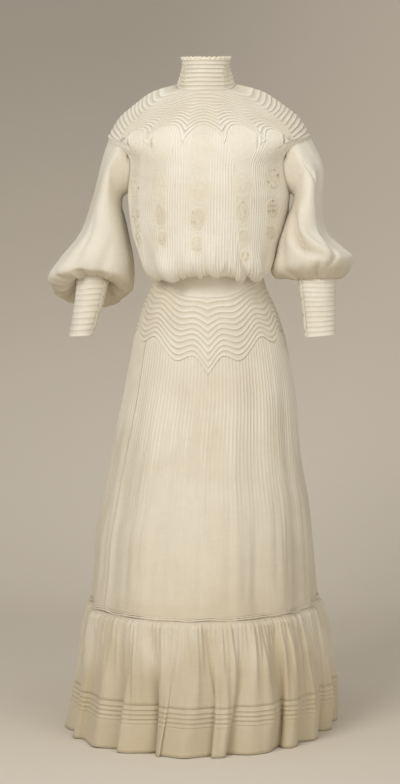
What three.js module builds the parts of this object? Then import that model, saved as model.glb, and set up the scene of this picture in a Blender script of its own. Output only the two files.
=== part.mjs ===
// Day dress of fine cotton, as worn: collar, yoke, pouched bodice, bishop sleeves, hip yoke, skirt, flounce.
// Millimetres. +Z is up and the front faces -Y. The origin is the middle of the shoulder line.
//
// Every cloth piece is a thin wall on a surface point(turn, down):
//   turn  degrees round the body from the centre front towards +X (on a sleeve, round the arm)
//   down  distance from the neck seam, or the height on the skirt
// A surface's sections come from short tables, with a smooth cubic through each column.

import * as THREE from 'three';

// ---- driving dimensions -----------------------------------------------------------------------------

const CLOTH_WALL = 2;
const BODICE_WALL = 1.5;
const LACE_WALL = 1.2;
const SEAM_GAP = 0.3;
const STEEP_SEAM_GAP = 1.4;
const LACE_LIFT = 1.4;

const SHOULDER_HEIGHT = 1365;
const HEM_CLEARANCE = 5;
const WAIST_Z = -367;
const FLOUNCE_SEAM_Z = -1091;
const FLOUNCE_HEM_BAND = 96;
const HEM_Z = HEM_CLEARANCE - SHOULDER_HEIGHT;

const TIP_DOWN = 134;
const UNDERARM_DOWN = 258;
const WAIST_DOWN = 487;
const SHOULDER_LEAN = 6;

const ARMHOLE = { topX: 218, midX: 163, bottomX: 175, topZ: -78, bottomZ: -202, front: 57, back: 60 };
const ARMHOLE_POINTEDNESS = 0.9;
const ARMHOLE_STEPS = 9;
const SLEEVE_STEPS = 2 * ARMHOLE_STEPS;

const BODY_STEPS = 48;
const FLOUNCE_STEPS = 60;

// ---- small mathematics ------------------------------------------------------------------------------

const RAD = Math.PI / 180;
const mix = (a, b, share) => a + (b - a) * share;
const clamp01 = (value) => Math.min(1, Math.max(0, value));
const smooth = (value) => {
  const t = clamp01(value);
  return t * t * (3 - 2 * t);
};
const steps = (from, to, count) => Array.from({ length: count + 1 }, (_, i) => mix(from, to, i / count));

/** Slope of a column at row i: the chord between the two rows beside it. */
function slope(rows, key, column, i) {
  const before = rows[Math.max(0, i - 1)];
  const after = rows[Math.min(rows.length - 1, i + 1)];
  return (after[column] - before[column]) / (after[key] - before[key]);
}

/** Value of a table's column at a place along its key column, on a smooth cubic through the rows. */
function along(rows, key, column, place) {
  const rising = rows[0][key] < rows[rows.length - 1][key];
  let i = 0;
  while (i < rows.length - 2 && (rising ? place > rows[i + 1][key] : place < rows[i + 1][key])) i += 1;
  const a = rows[i];
  const b = rows[i + 1];
  const span = b[key] - a[key];
  const t = clamp01((place - a[key]) / span);
  const t2 = t * t;
  const t3 = t2 * t;
  const leaving = slope(rows, key, column, i) * (t3 - 2 * t2 + t);
  const arriving = slope(rows, key, column, i + 1) * (t3 - t2);
  return a[column] * (2 * t3 - 3 * t2 + 1) + b[column] * (3 * t2 - 2 * t3) + (leaving + arriving) * span;
}

/** A turn brought into -180..180. */
const wrapTurn = (turn) => ((((turn + 180) % 360) + 360) % 360) - 180;

// ---- upper body -------------------------------------------------------------------------------------

const shoulderLine = [
  { down: 0, x: 64, z: 31 },
  { down: 24, x: 94, z: 24 },
  { down: 56, x: 127, z: 12 },
  { down: 94, x: 168, z: -17 },
  { down: 114, x: 194, z: -39 },
  { down: TIP_DOWN, x: ARMHOLE.topX, z: ARMHOLE.topZ },
];

const sideSeam = [
  { down: UNDERARM_DOWN, x: ARMHOLE.bottomX, z: ARMHOLE.bottomZ },
  { down: 291, x: 172, z: -240 },
  { down: 333, x: 165, z: -290 },
  { down: 373, x: 152, z: -328 },
  { down: 403, x: 141, z: -350 },
  { down: 430, x: 131, z: -363 },
  { down: 465, x: 121, z: -368 },
  { down: WAIST_DOWN, x: 116, z: WAIST_Z },
];

const centreLine = [
  { down: 0, frontY: -60, frontZ: 16, backY: 52, backZ: 38 },
  { down: 24, frontY: -74, frontZ: -4, backY: 70, backZ: 26 },
  { down: 56, frontY: -92, frontZ: -30, backY: 87, backZ: 6 },
  { down: 94, frontY: -112, frontZ: -62, backY: 99, backZ: -26 },
  { down: TIP_DOWN, frontY: -131, frontZ: -97, backY: 106, backZ: -68 },
  { down: 206, frontY: -154, frontZ: -166, backY: 112, backZ: -150 },
  { down: UNDERARM_DOWN, frontY: -166, frontZ: -217, backY: 111, backZ: -212 },
  { down: 291, frontY: -170, frontZ: -250, backY: 108, backZ: -250 },
  { down: 333, frontY: -176, frontZ: -292, backY: 104, backZ: -292 },
  { down: 373, frontY: -181, frontZ: -332, backY: 106, backZ: -330 },
  { down: 403, frontY: -176, frontZ: -362, backY: 112, backZ: -352 },
  { down: 430, frontY: -155, frontZ: -379, backY: 114, backZ: -368 },
  { down: 465, frontY: -120, frontZ: -375, backY: 107, backZ: -373 },
  { down: WAIST_DOWN, frontY: -99, frontZ: WAIST_Z, backY: 100, backZ: WAIST_Z },
];

/**
 * A point of the armhole seam; angle 0 is the shoulder tip and 180 the underarm, and face is -1 in front.
 * The seam is pointed at the tip, where it falls evenly with the angle, and round at the underarm.
 */
function armholePoint(angle, face) {
  const up = Math.cos(angle * RAD);
  const endX = up > 0 ? ARMHOLE.topX : ARMHOLE.bottomX;
  const depth = face < 0 ? ARMHOLE.front : ARMHOLE.back;
  const fallen = mix((1 - up) / 2, angle / 180, ARMHOLE_POINTEDNESS * Math.cos((angle * RAD) / 2) ** 2);
  return {
    x: mix(ARMHOLE.midX, endX, up * up),
    y: face * depth * Math.sin(angle * RAD),
    z: mix(ARMHOLE.topZ, ARMHOLE.bottomZ, fallen),
  };
}

const armholeAngle = (down) => 180 * clamp01((down - TIP_DOWN) / (UNDERARM_DOWN - TIP_DOWN));

/** The edge that a section reaches at its side: shoulder line, armhole or side seam. */
function sidePoint(down, face) {
  if (down < TIP_DOWN) {
    return { x: along(shoulderLine, 'down', 'x', down), y: 0, z: along(shoulderLine, 'down', 'z', down) };
  }
  if (down > UNDERARM_DOWN) {
    return { x: along(sideSeam, 'down', 'x', down), y: 0, z: along(sideSeam, 'down', 'z', down) };
  }
  return armholePoint(armholeAngle(down), face);
}

/**
 * A point of the yoke and bodice. Share runs from -1 at one side edge through 0 on the centre line to 1.
 * With t = share * wrap: x = side.x sin t / sin wrap, and y and z run from the centre line to the side
 * edge by (1 - cos t) / (1 - cos wrap), z by a power of it that keeps the upper tucks level across the chest.
 */
const LIFT_POWER = 1.8;
const TIP_LIFT_POWER = 1.2;
const LIFT_CHANGE_DOWN = 50;
const ARMHOLE_UNWRAP = 24;
function bodicePoint(share, down, face) {
  const side = sidePoint(down, face);
  const wrap = (90 - ARMHOLE_UNWRAP * Math.sin(armholeAngle(down) * RAD)) * RAD;
  const t = share * wrap;
  const across = Math.sin(t) / Math.sin(wrap);
  const round = (1 - Math.cos(t)) / (1 - Math.cos(wrap));
  const centreY = along(centreLine, 'down', face < 0 ? 'frontY' : 'backY', down);
  const centreZ = along(centreLine, 'down', face < 0 ? 'frontZ' : 'backZ', down);
  const lean = SHOULDER_LEAN * smooth(down / TIP_DOWN);
  const settled = smooth((down - LIFT_CHANGE_DOWN) / (TIP_DOWN - LIFT_CHANGE_DOWN));
  const power = mix(LIFT_POWER, TIP_LIFT_POWER, settled);
  return [
    lean + side.x * across,
    mix(centreY, side.y, round),
    mix(centreZ, side.z, round ** power),
  ];
}

/**
 * Pouched folds of the blouse over the waist: outward puffs between gathers, none above PUFF_TOP. They hang
 * down by a share of their depth.
 */
const PUFF_TOP = 330;
const PUFF_FULL = 420;
const PUFF_FOOT = 440;
const PUFF_HANG = 0.5;
const blousePuffs = [
  { share: -0.78, width: 0.13, out: 5 },
  { share: -0.44, width: 0.15, out: 9 },
  { share: -0.12, width: 0.1, out: 4 },
  { share: 0.14, width: 0.1, out: 4 },
  { share: 0.46, width: 0.16, out: 10 },
  { share: 0.8, width: 0.12, out: 6 },
];

/**
 * A point of the yoke and bodice on one face, front -1 or back 1, at a turn from that face's centre line.
 * Past the shoulder line or the side seam it goes on over the other face.
 */
function bodyPoint(face, turn, down) {
  let share = turn / 90;
  let over = face;
  if (Math.abs(share) > 1 && (down <= TIP_DOWN || down >= UNDERARM_DOWN)) {
    share = Math.sign(share) * (2 - Math.abs(share));
    over = -face;
  }
  const point = bodicePoint(share, down, over);
  const grown = smooth((down - PUFF_TOP) / (PUFF_FULL - PUFF_TOP))
    * (1 - smooth((down - PUFF_FOOT) / (WAIST_DOWN - PUFF_FOOT)));
  const out = blousePuffs.reduce((sum, puff) => sum + puff.out * bump((share - puff.share) / puff.width), 0);
  point[1] += over * out * grown;
  point[2] -= PUFF_HANG * out * grown;
  return point;
}
const frontPoint = (turn, down) => bodyPoint(-1, turn, down);
const backPoint = (turn, down) => bodyPoint(1, turn, down);

/** A rounded bump of height 1, from a bell curve. */
function bump(distance) {
  return Math.exp(-distance * distance);
}

/** Lower edge of the scalloped yoke as a distance down: arches, each half an ellipse, above a foot line. */
const YOKE_FOOT_DOWN = 148;
const yokeArches = [
  { share: -0.51, half: 0.11, peak: 112 },
  { share: -0.2675, half: 0.1325, peak: 92 },
  { share: 0, half: 0.135, peak: 92 },
  { share: 0.2675, half: 0.1325, peak: 92 },
  { share: 0.51, half: 0.11, peak: 112 },
];
const armholeArches = [-1, 1].map((share) => ({ share, half: 0.38, peak: TIP_DOWN }));
function yokeEdge(share) {
  return Math.min(...[...yokeArches, ...armholeArches].map((arch) => {
    const reach = (share - arch.share) / arch.half;
    return YOKE_FOOT_DOWN - (YOKE_FOOT_DOWN - arch.peak) * Math.sqrt(Math.max(0, 1 - reach * reach));
  }));
}

// ---- skirt ------------------------------------------------------------------------------------------

const skirtSections = [
  { z: WAIST_Z, middle: 6, half: 116, front: 99, back: 100, flare: 0 },
  { z: -385, middle: 6, half: 118, front: 101, back: 105, flare: 0 },
  { z: -421, middle: 6, half: 130, front: 109, back: 120, flare: 0 },
  { z: -455, middle: 6, half: 145, front: 118, back: 138, flare: 0 },
  { z: -490, middle: 7, half: 157, front: 127, back: 155, flare: 0 },
  { z: -525, middle: 8, half: 166, front: 134, back: 168, flare: 0 },
  { z: -595, middle: 8, half: 179, front: 148, back: 187, flare: 0.01 },
  { z: -647, middle: 7, half: 188, front: 160, back: 201, flare: 0.02 },
  { z: -734, middle: 1, half: 201, front: 180, back: 226, flare: 0.04 },
  { z: -803, middle: -2, half: 213, front: 199, back: 251, flare: 0.06 },
  { z: -873, middle: -2, half: 227, front: 220, back: 278, flare: 0.08 },
  { z: -942, middle: -5, half: 238, front: 245, back: 308, flare: 0.1 },
  { z: -1012, middle: -5, half: 243, front: 275, back: 341, flare: 0.13 },
  { z: FLOUNCE_SEAM_Z, middle: -7, half: 249, front: 308, back: 377, flare: 0.17 },
];

const flounceSections = [
  { z: FLOUNCE_SEAM_Z, middle: -7, half: 251, front: 310, back: 379, flare: 0.17 },
  { z: -1110, middle: -7, half: 257, front: 316, back: 384, flare: 0.18 },
  { z: -1168, middle: -5, half: 270, front: 330, back: 396, flare: 0.21 },
  { z: -1273, middle: -5, half: 283, front: 350, back: 415, flare: 0.25 },
  { z: HEM_Z, middle: -15, half: 291, front: 368, back: 434, flare: 0.28 },
];

/** Grooves that run down the cloth: where they lie, how wide and deep they are, and where they start. */
const skirtGrooves = [
  { turn: -152, width: 8, depth: 11, top: -560 },
  { turn: -126, width: 9, depth: 13, top: -600 },
  { turn: -101, width: 7, depth: 9, top: -700 },
  { turn: -76, width: 8, depth: 15, top: -600 },
  { turn: -43, width: 9, depth: 7, top: -780 },
  { turn: -14, width: 7, depth: 5, top: -830 },
  { turn: 13, width: 8, depth: 6, top: -800 },
  { turn: 39, width: 9, depth: 7, top: -760 },
  { turn: 64, width: 7, depth: 9, top: -700 },
  { turn: 88, width: 8, depth: 12, top: -640 },
  { turn: 113, width: 8, depth: 10, top: -640 },
  { turn: 141, width: 9, depth: 13, top: -580 },
  { turn: 170, width: 7, depth: 10, top: -540 },
];
const SKIRT_GROOVE_LENGTH = 420;
const FLOUNCE_GROOVE_POWER = 0.7;

const flounceGrooves = [
  { turn: -171, width: 4.5, depth: 24 },
  { turn: -154, width: 4, depth: 20 },
  { turn: -138, width: 5, depth: 27 },
  { turn: -119, width: 4.5, depth: 22 },
  { turn: -103, width: 4, depth: 26 },
  { turn: -86, width: 4.5, depth: 21 },
  { turn: -69, width: 4, depth: 25 },
  { turn: -52, width: 4.5, depth: 15 },
  { turn: -35, width: 4, depth: 20 },
  { turn: -18, width: 5, depth: 34 },
  { turn: -5.5, width: 3, depth: 13 },
  { turn: 7, width: 3.5, depth: 20 },
  { turn: 23, width: 4, depth: 22 },
  { turn: 40, width: 4.5, depth: 30 },
  { turn: 57, width: 4, depth: 17 },
  { turn: 73, width: 4.5, depth: 25 },
  { turn: 91, width: 4, depth: 19 },
  { turn: 108, width: 5, depth: 27 },
  { turn: 127, width: 4.5, depth: 22 },
  { turn: 146, width: 4, depth: 25 },
  { turn: 164, width: 4.5, depth: 20 },
];

/** Depth of the grooves at a turn, each a bell in turn, growing by `grown(groove)`. */
function grooveDepth(grooves, turn, grown) {
  return grooves.reduce((sum, groove) => {
    const away = wrapTurn(turn - groove.turn) / groove.width;
    return sum + groove.depth * bump(away) * grown(groove);
  }, 0);
}

/**
 * A point of a body section: x = middle + half sin t (1 + flare max(0, -cos t)), y = -front cos t in front
 * and -back cos t behind, moved in towards the axis by `inward`.
 */
function sectionPoint(sections, turn, z, inward) {
  const column = (name) => along(sections, 'z', name, z);
  const t = turn * RAD;
  const flare = 1 + column('flare') * Math.max(0, -Math.cos(t));
  const depth = Math.cos(t) > 0 ? column('front') : column('back');
  return [
    column('middle') + (column('half') * flare - inward) * Math.sin(t),
    -(depth - inward) * Math.cos(t),
    z,
  ];
}

function skirtPoint(turn, z) {
  const grown = (groove) => smooth((groove.top - z) / SKIRT_GROOVE_LENGTH);
  return sectionPoint(skirtSections, turn, z, grooveDepth(skirtGrooves, turn, grown));
}

function flouncePoint(turn, z) {
  const fall = clamp01((FLOUNCE_SEAM_Z - z) / (FLOUNCE_SEAM_Z - HEM_Z));
  const fromSkirt = (groove) => smooth((groove.top - FLOUNCE_SEAM_Z) / SKIRT_GROOVE_LENGTH) * (1 - fall);
  const grown = () => fall ** FLOUNCE_GROOVE_POWER;
  const inward = grooveDepth(skirtGrooves, turn, fromSkirt) + grooveDepth(flounceGrooves, turn, grown);
  return sectionPoint(flounceSections, turn, z, inward);
}

/** Height of a seam round the hips, from a table of half the round about a centre that is turned a little. */
const SEAM_TWIST = 3;
function seamHeight(rows, turn) {
  const untwisted = turn - SEAM_TWIST * Math.max(0, Math.cos(turn * RAD));
  return along(rows, 'turn', 'z', Math.abs(wrapTurn(untwisted)));
}

const waistPanelEdge = [
  { turn: 0, z: -424 },
  { turn: 22, z: -419 },
  { turn: 45, z: -399 },
  { turn: 72, z: -385 },
  { turn: 110, z: -384 },
  { turn: 150, z: -390 },
  { turn: 180, z: -402 },
];

const hipYokeEdge = [
  { turn: 0, z: -588 },
  { turn: 10, z: -550 },
  { turn: 24, z: -558 },
  { turn: 43, z: -510 },
  { turn: 58, z: -521 },
  { turn: 75, z: -496 },
  { turn: 95, z: -514 },
  { turn: 115, z: -498 },
  { turn: 135, z: -514 },
  { turn: 152, z: -500 },
  { turn: 168, z: -524 },
  { turn: 180, z: -548 },
];

// ---- sleeves and cuffs ------------------------------------------------------------------------------

/**
 * Rings of each sleeve from the armhole to the cuff. A ring runs between an outer point and an inner point
 * in the XZ plane, and between front and back in y; lift raises its front and lowers its back.
 */
const rightArmRings = [
  { ring: 0, outX: -213, outZ: -82, inX: -182, inZ: -204, front: -64, back: 66, lift: 0 },
  { ring: 1, outX: -219, outZ: -104, inX: -184, inZ: -214, front: -76, back: 78, lift: 0 },
  { ring: 2, outX: -230, outZ: -148, inX: -184, inZ: -234, front: -82, back: 86, lift: 0 },
  { ring: 3, outX: -249, outZ: -212, inX: -177, inZ: -262, front: -84, back: 90, lift: 0 },
  { ring: 4, outX: -275, outZ: -284, inX: -166, inZ: -306, front: -92, back: 96, lift: 4 },
  { ring: 5, outX: -321, outZ: -346, inX: -157, inZ: -348, front: -104, back: 100, lift: 14 },
  { ring: 6, outX: -346, outZ: -390, inX: -155, inZ: -388, front: -106, back: 98, lift: 28 },
  { ring: 7, outX: -338, outZ: -411, inX: -160, inZ: -409, front: -98, back: 84, lift: 38 },
  { ring: 8, outX: -312, outZ: -414, inX: -180, inZ: -412, front: -80, back: 54, lift: 32 },
  { ring: 9, outX: -286, outZ: -394, inX: -199, inZ: -392, front: -66, back: 26, lift: 14 },
  { ring: 10, outX: -278.3, outZ: -372, inX: -204.7, inZ: -372, front: -58.8, back: 18.8, lift: 0 },
];

const leftArmRings = [
  { ring: 0, outX: 226, outZ: -82, inX: 190, inZ: -205, front: -66, back: 66, lift: 0 },
  { ring: 1, outX: 238, outZ: -106, inX: 192, inZ: -213, front: -80, back: 76, lift: 0 },
  { ring: 2, outX: 256, outZ: -154, inX: 189, inZ: -236, front: -92, back: 78, lift: 0 },
  { ring: 3, outX: 257, outZ: -222, inX: 179, inZ: -264, front: -106, back: 76, lift: 0 },
  { ring: 4, outX: 264, outZ: -283, inX: 167, inZ: -300, front: -122, back: 72, lift: 4 },
  { ring: 5, outX: 299, outZ: -320, inX: 158, inZ: -332, front: -136, back: 66, lift: 8 },
  { ring: 6, outX: 322, outZ: -340, inX: 154, inZ: -358, front: -138, back: 58, lift: 8 },
  { ring: 7, outX: 314, outZ: -362, inX: 158, inZ: -375, front: -130, back: 46, lift: 6 },
  { ring: 8, outX: 301, outZ: -378, inX: 176, inZ: -384, front: -112, back: 24, lift: 2 },
  { ring: 9, outX: 289, outZ: -384, inX: 192, inZ: -386, front: -96, back: 0, lift: 0 },
  { ring: 10, outX: 283.8, outZ: -374, inX: 199.2, inZ: -374, front: -88.8, back: -11.2, lift: 0 },
];

/** Long grooves of a sleeve: angle round the arm from its outer side towards its front. */
const rightArmGrooves = [
  { turn: -150, width: 16, depth: 9, from: 3, to: 10 },
  { turn: -104, width: 15, depth: 8, from: 4, to: 10 },
  { turn: -58, width: 14, depth: 7, from: 5, to: 10 },
  { turn: 38, width: 17, depth: 8, from: 1, to: 6 },
  { turn: 92, width: 15, depth: 5, from: 6, to: 10 },
  { turn: 138, width: 14, depth: 6, from: 6, to: 10 },
];
const leftArmGrooves = [
  { turn: -140, width: 16, depth: 8, from: 3, to: 10 },
  { turn: -88, width: 15, depth: 8, from: 4, to: 10 },
  { turn: -42, width: 14, depth: 7, from: 5, to: 10 },
  { turn: 34, width: 15, depth: 12, from: 1, to: 6.5 },
  { turn: 82, width: 15, depth: 5, from: 6, to: 10 },
  { turn: 128, width: 14, depth: 6, from: 6, to: 10 },
];

/** A point of a ring row: centre + half-width cos angle + depth sin angle, lifted in front. */
function ringPoint(rings, angle, ring) {
  const column = (name) => along(rings, 'ring', name, ring);
  const out = Math.cos(angle * RAD);
  const ahead = Math.sin(angle * RAD);
  return [
    mix(column('inX'), column('outX'), (1 + out) / 2),
    mix(column('back'), column('front'), (1 + ahead) / 2),
    mix(column('inZ'), column('outZ'), (1 + out) / 2) + column('lift') * ahead,
  ];
}

/** A sleeve point: the armhole seam, moved clear of it, running into the rings within ARMHOLE_BLEND rings. */
const ARMHOLE_BLEND = 1;
function sleevePoint(arm, angle, ring) {
  const turned = Math.abs(wrapTurn(angle));
  const seam = armholePoint(turned, wrapTurn(angle) >= 0 ? -1 : 1);
  const start = [arm.side * (seam.x + 2 * SEAM_GAP) + SHOULDER_LEAN, seam.y, seam.z];
  const free = ringPoint(arm.rings, angle, ring);
  const share = smooth(ring / ARMHOLE_BLEND);
  const point = start.map((value, i) => mix(value, free[i], share));
  const inward = arm.grooves.reduce((sum, groove) => {
    const grown = smooth((ring - groove.from) / 2) * (1 - smooth((ring - groove.to + 2) / 2));
    return sum + groove.depth * grown * bump(wrapTurn(angle - groove.turn) / groove.width);
  }, 0);
  point[0] -= arm.side * inward * Math.cos(angle * RAD);
  point[1] += inward * Math.sin(angle * RAD);
  return point;
}

const rightArm = { name: 'right', side: -1, rings: rightArmRings, grooves: rightArmGrooves };
const leftArm = { name: 'left', side: 1, rings: leftArmRings, grooves: leftArmGrooves };

/** Each cuff tapers from the sleeve's last ring to the wrist. */
rightArm.cuffRows = [
  { ring: 0, outX: -277.5, outZ: -372, inX: -205.5, inZ: -372, front: -58, back: 18, lift: 0 },
  { ring: 1, outX: -283, outZ: -440, inX: -219, inZ: -437, front: -66, back: 2, lift: 0 },
  { ring: 2, outX: -293, outZ: -512, inX: -240, inZ: -509, front: -76, back: -14, lift: 0 },
];
leftArm.cuffRows = [
  { ring: 0, outX: 283, outZ: -374, inX: 200, inZ: -374, front: -88, back: -12, lift: 0 },
  { ring: 1, outX: 283, outZ: -438, inX: 210, inZ: -440, front: -98, back: -36, lift: 0 },
  { ring: 2, outX: 283, outZ: -505, inX: 218, inZ: -511, front: -108, back: -56, lift: 0 },
];

// ---- walls ------------------------------------------------------------------------------------------

const minus = (a, b) => [a[0] - b[0], a[1] - b[1], a[2] - b[2]];
const cross = (a, b) => [a[1] * b[2] - a[2] * b[1], a[2] * b[0] - a[0] * b[2], a[0] * b[1] - a[1] * b[0]];

/** The unit normal of a surface, square to two small chords; outward turns it to the outer side. */
function normalOf(point, across, down, reach, outward) {
  const acrossChord = minus(point(across + reach.across, down), point(across - reach.across, down));
  const downChord = minus(point(across, down + reach.down), point(across, down - reach.down));
  const normal = cross(downChord, acrossChord);
  const size = outward * Math.hypot(...normal);
  return normal.map((value) => value / size);
}

/** A closed body from vertices and quads or triangles, with its faces turned outwards. */
function closedBody(vertices, faces) {
  const index = [];
  faces.forEach((face) => {
    for (let k = 2; k < face.length; k += 1) index.push(face[0], face[k - 1], face[k]);
  });
  let volume = 0;
  for (let k = 0; k < index.length; k += 3) {
    const [a, b, c] = [vertices[index[k]], vertices[index[k + 1]], vertices[index[k + 2]]];
    const normal = cross(b, c);
    volume += a[0] * normal[0] + a[1] * normal[1] + a[2] * normal[2];
  }
  if (volume < 0) index.reverse();
  const geometry = new THREE.BufferGeometry();
  geometry.setAttribute('position', new THREE.Float32BufferAttribute(vertices.flat(), 3));
  geometry.setIndex(index);
  geometry.computeVertexNormals();
  return geometry;
}

/** The same four corners, facing the other way and cut along the same diagonal. */
const turnedOver = ([a, b, c, d]) => [a, d, c, b];

/** A normal turned into the YZ plane, for a rim that faces along X. */
function sidewaysRemoved([, y, z]) {
  const size = Math.hypot(y, z);
  return [0, y / size, z / size];
}

/**
 * A cloth wall on a surface point(across, down), over rows of [across, down] places. Its inner face is its
 * outer face moved in by the wall, along the surface's own normal, so that pieces meet squarely at a seam.
 * A closed wall runs all round; an open one has its side edges drawn in by `drawn`.
 */
const BODY_REACH = { across: 0.4, down: 0.5 };
const RING_REACH = { across: 1, down: 0.02 };
function wallGeometry(point, places, ways = {}) {
  const { closed = false, outward = 1, wall = CLOTH_WALL, lift = 0, reach = BODY_REACH } = ways;
  const { squareTop = false, mirrored = false } = ways;
  const normals = places.map((row, j) => row.map(([across, down]) => {
    const normal = normalOf(point, across, down, reach, outward);
    return squareTop && j === 0 ? sidewaysRemoved(normal) : normal;
  }));
  const outer = places.map((row) => row.map(([across, down]) => point(across, down)));
  const grid = closed ? outer : drawnIn(outer);
  const moved = (distance) => grid.flatMap((row, j) => {
    return row.map((corner, i) => corner.map((value, k) => value + distance * normals[j][i][k]));
  });
  const vertices = [...moved(lift), ...moved(lift - wall)];
  const columns = grid[0].length;
  const rows = grid.length;
  const inner = columns * rows;
  const at = (i, j) => j * columns + (i % columns);
  const faces = [];
  const lastColumn = closed ? columns : columns - 1;
  for (let j = 0; j < rows - 1; j += 1) {
    for (let i = 0; i < lastColumn; i += 1) {
      const [a, b, c, d] = [at(i, j), at(i + 1, j), at(i + 1, j + 1), at(i, j + 1)];
      const quad = mirrored ? [b, a, d, c] : [a, d, c, b];
      faces.push(quad, turnedOver(quad).map((corner) => inner + corner));
    }
  }
  for (let i = 0; i < lastColumn; i += 1) {
    const [a, b, c, d] = [at(i, 0), at(i + 1, 0), at(i, rows - 1), at(i + 1, rows - 1)];
    faces.push([a, b, inner + b, inner + a]);
    faces.push([c, inner + c, inner + d, d]);
  }
  if (!closed) {
    for (let j = 0; j < rows - 1; j += 1) {
      const [a, b, c, d] = [at(0, j), at(0, j + 1), at(columns - 1, j), at(columns - 1, j + 1)];
      faces.push([a, inner + a, inner + b, b]);
      faces.push([c, d, inner + d, inner + c]);
    }
  }
  return closedBody(vertices, faces);
}

/** A grid's side edges drawn in by a share of the seam gap, so that neighbours don't touch. */
const DRAWN_SHARE = 0.6;
function drawnIn(grid) {
  return grid.map((row) => row.map((corner, i) => {
    if (i > 0 && i < row.length - 1) return corner;
    const way = minus(i === 0 ? row[1] : row[i - 1], corner);
    const share = (DRAWN_SHARE * SEAM_GAP) / Math.hypot(...way);
    return corner.map((value, k) => value + way[k] * share);
  }));
}

/** Rows of [across, down] places over lists of both. */
const placesOf = (acrosses, downs) => downs.map((down) => acrosses.map((across) => [across, down]));

// ---- materials --------------------------------------------------------------------------------------

const finish = (color, roughness) => new THREE.MeshStandardMaterial({ color, roughness, metalness: 0 });
const lawn = finish(0xece1c8, 0.85);
const skirtLawn = finish(0xe3d9be, 0.85);
const lace = finish(0xe6d9b6, 0.9);
const button = finish(0xd8cdb0, 0.5);

const dress = new THREE.Group();
function addPiece(name, geometry, material) {
  const mesh = new THREE.Mesh(geometry, material);
  mesh.name = name;
  dress.add(mesh);
  return mesh;
}

// ---- collar -----------------------------------------------------------------------------------------

const collarRows = [
  { rise: 0, half: 63, front: -59, back: 51, sideZ: 31.5, frontZ: 16.5, backZ: 38.5 },
  { rise: 1, half: 57, front: -56, back: 48, sideZ: 49, frontZ: 38, backZ: 56 },
  { rise: 2, half: 52, front: -54, back: 46, sideZ: 68, frontZ: 60, backZ: 75 },
  { rise: 3, half: 52, front: -54, back: 46, sideZ: 83, frontZ: 80, backZ: 88 },
];
const COLLAR_BACK_LAP = 0.4;
const FRILL_HEIGHT = 8;
const FRILL_SPREAD = 0.045;
const FRILL_WAVE = 0.02;
const FRILL_FOLDS = 9;
const COLLAR_LACE_TURNS = { inner: 40, outer: 74 };
const COLLAR_LACE_RISES = [2.6, 2, 1, 0.25];
const COLLAR_LACE_NARROWING = 0.25;

function collarPoint(turn, rise) {
  const column = (name) => along(collarRows, 'rise', name, rise);
  const t = turn * RAD;
  const face = Math.cos(t) > 0 ? 'front' : 'back';
  const round = (1 - Math.abs(Math.cos(t))) ** LIFT_POWER;
  return [
    column('half') * Math.sin(t),
    column(face) * Math.abs(Math.cos(t)),
    mix(column(`${face}Z`), column('sideZ'), round),
  ];
}

function buildCollar() {
  const ways = { outward: -1, reach: RING_REACH };
  const lap = 180 - COLLAR_BACK_LAP;
  addPiece('collar', wallGeometry(collarPoint, placesOf(steps(-lap, lap, 20), [3, 2, 1, 0]), ways), lawn);
  const frillPoint = (turn, rise) => {
    const [x, y, z] = collarPoint(turn, 3);
    const spread = 1 + rise * (FRILL_SPREAD + FRILL_WAVE * Math.cos(turn * FRILL_FOLDS * RAD));
    return [x * spread, y * spread, z + SEAM_GAP + FRILL_HEIGHT * rise];
  };
  const frillPlaces = placesOf(steps(-lap, lap, 36), [1, 0]);
  addPiece('collar_frill', wallGeometry(frillPoint, frillPlaces, { ...ways, wall: LACE_WALL }), lace);
  collarLace('left', COLLAR_LACE_TURNS.inner, COLLAR_LACE_TURNS.outer);
  collarLace('right', -COLLAR_LACE_TURNS.outer, -COLLAR_LACE_TURNS.inner);
}

/** A lace triangle on the collar, narrow at the top and wide at the foot, moved out from its points. */
function collarLace(side, fromTurn, toTurn) {
  const middle = (fromTurn + toTurn) / 2;
  const places = COLLAR_LACE_RISES.map((rise) => steps(-1, 1, 3).map((share) => {
    return [middle + ((share * (toTurn - fromTurn)) / 2) * (1 - COLLAR_LACE_NARROWING * rise), rise];
  }));
  const ways = { outward: -1, reach: RING_REACH, wall: LACE_WALL, lift: LACE_WALL + LACE_LIFT };
  addPiece(`collar_lace_${side}`, wallGeometry(collarPoint, places, ways), lace);
}

// ---- yoke and bodice --------------------------------------------------------------------------------

const CENTRE_BACK_GAP = 0.0022;
const PLACKET_SHARE = 0.05;
const PLACKET_FOOT = 385;
const SETTLED_DOWN = 206;

/** Shares across a face at which the scallops' points, shoulders and peaks lie. */
const archShares = yokeArches.flatMap(({ share, half }) => {
  return [share - half, share - half / 2, share, share + half / 2];
});
const frontShares = [-1, -0.81, ...archShares, 0.62, 0.81, 1];
const halfBackShares = [CENTRE_BACK_GAP, PLACKET_SHARE, 0.135, 0.2675, 0.4, 0.51, 0.62, 0.81, 1];

/** Distances down of a panel's rows, with every point of the armhole among them. */
const panelDowns = [
  ...steps(TIP_DOWN, UNDERARM_DOWN, ARMHOLE_STEPS),
  ...[300, 345, PLACKET_FOOT, 415, PUFF_FOOT, WAIST_DOWN],
];

/** Places of a yoke, from the neck seam to its scallops. */
function yokePlaces(shares) {
  const levels = [0, 0.33, 0.67, 1];
  return levels.map((level) => shares.map((share) => {
    const foot = yokeEdge(share) - STEEP_SEAM_GAP * (1 + Math.abs(share) ** 8);
    return [90 * share, mix(SEAM_GAP, foot, level)];
  }));
}

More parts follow.
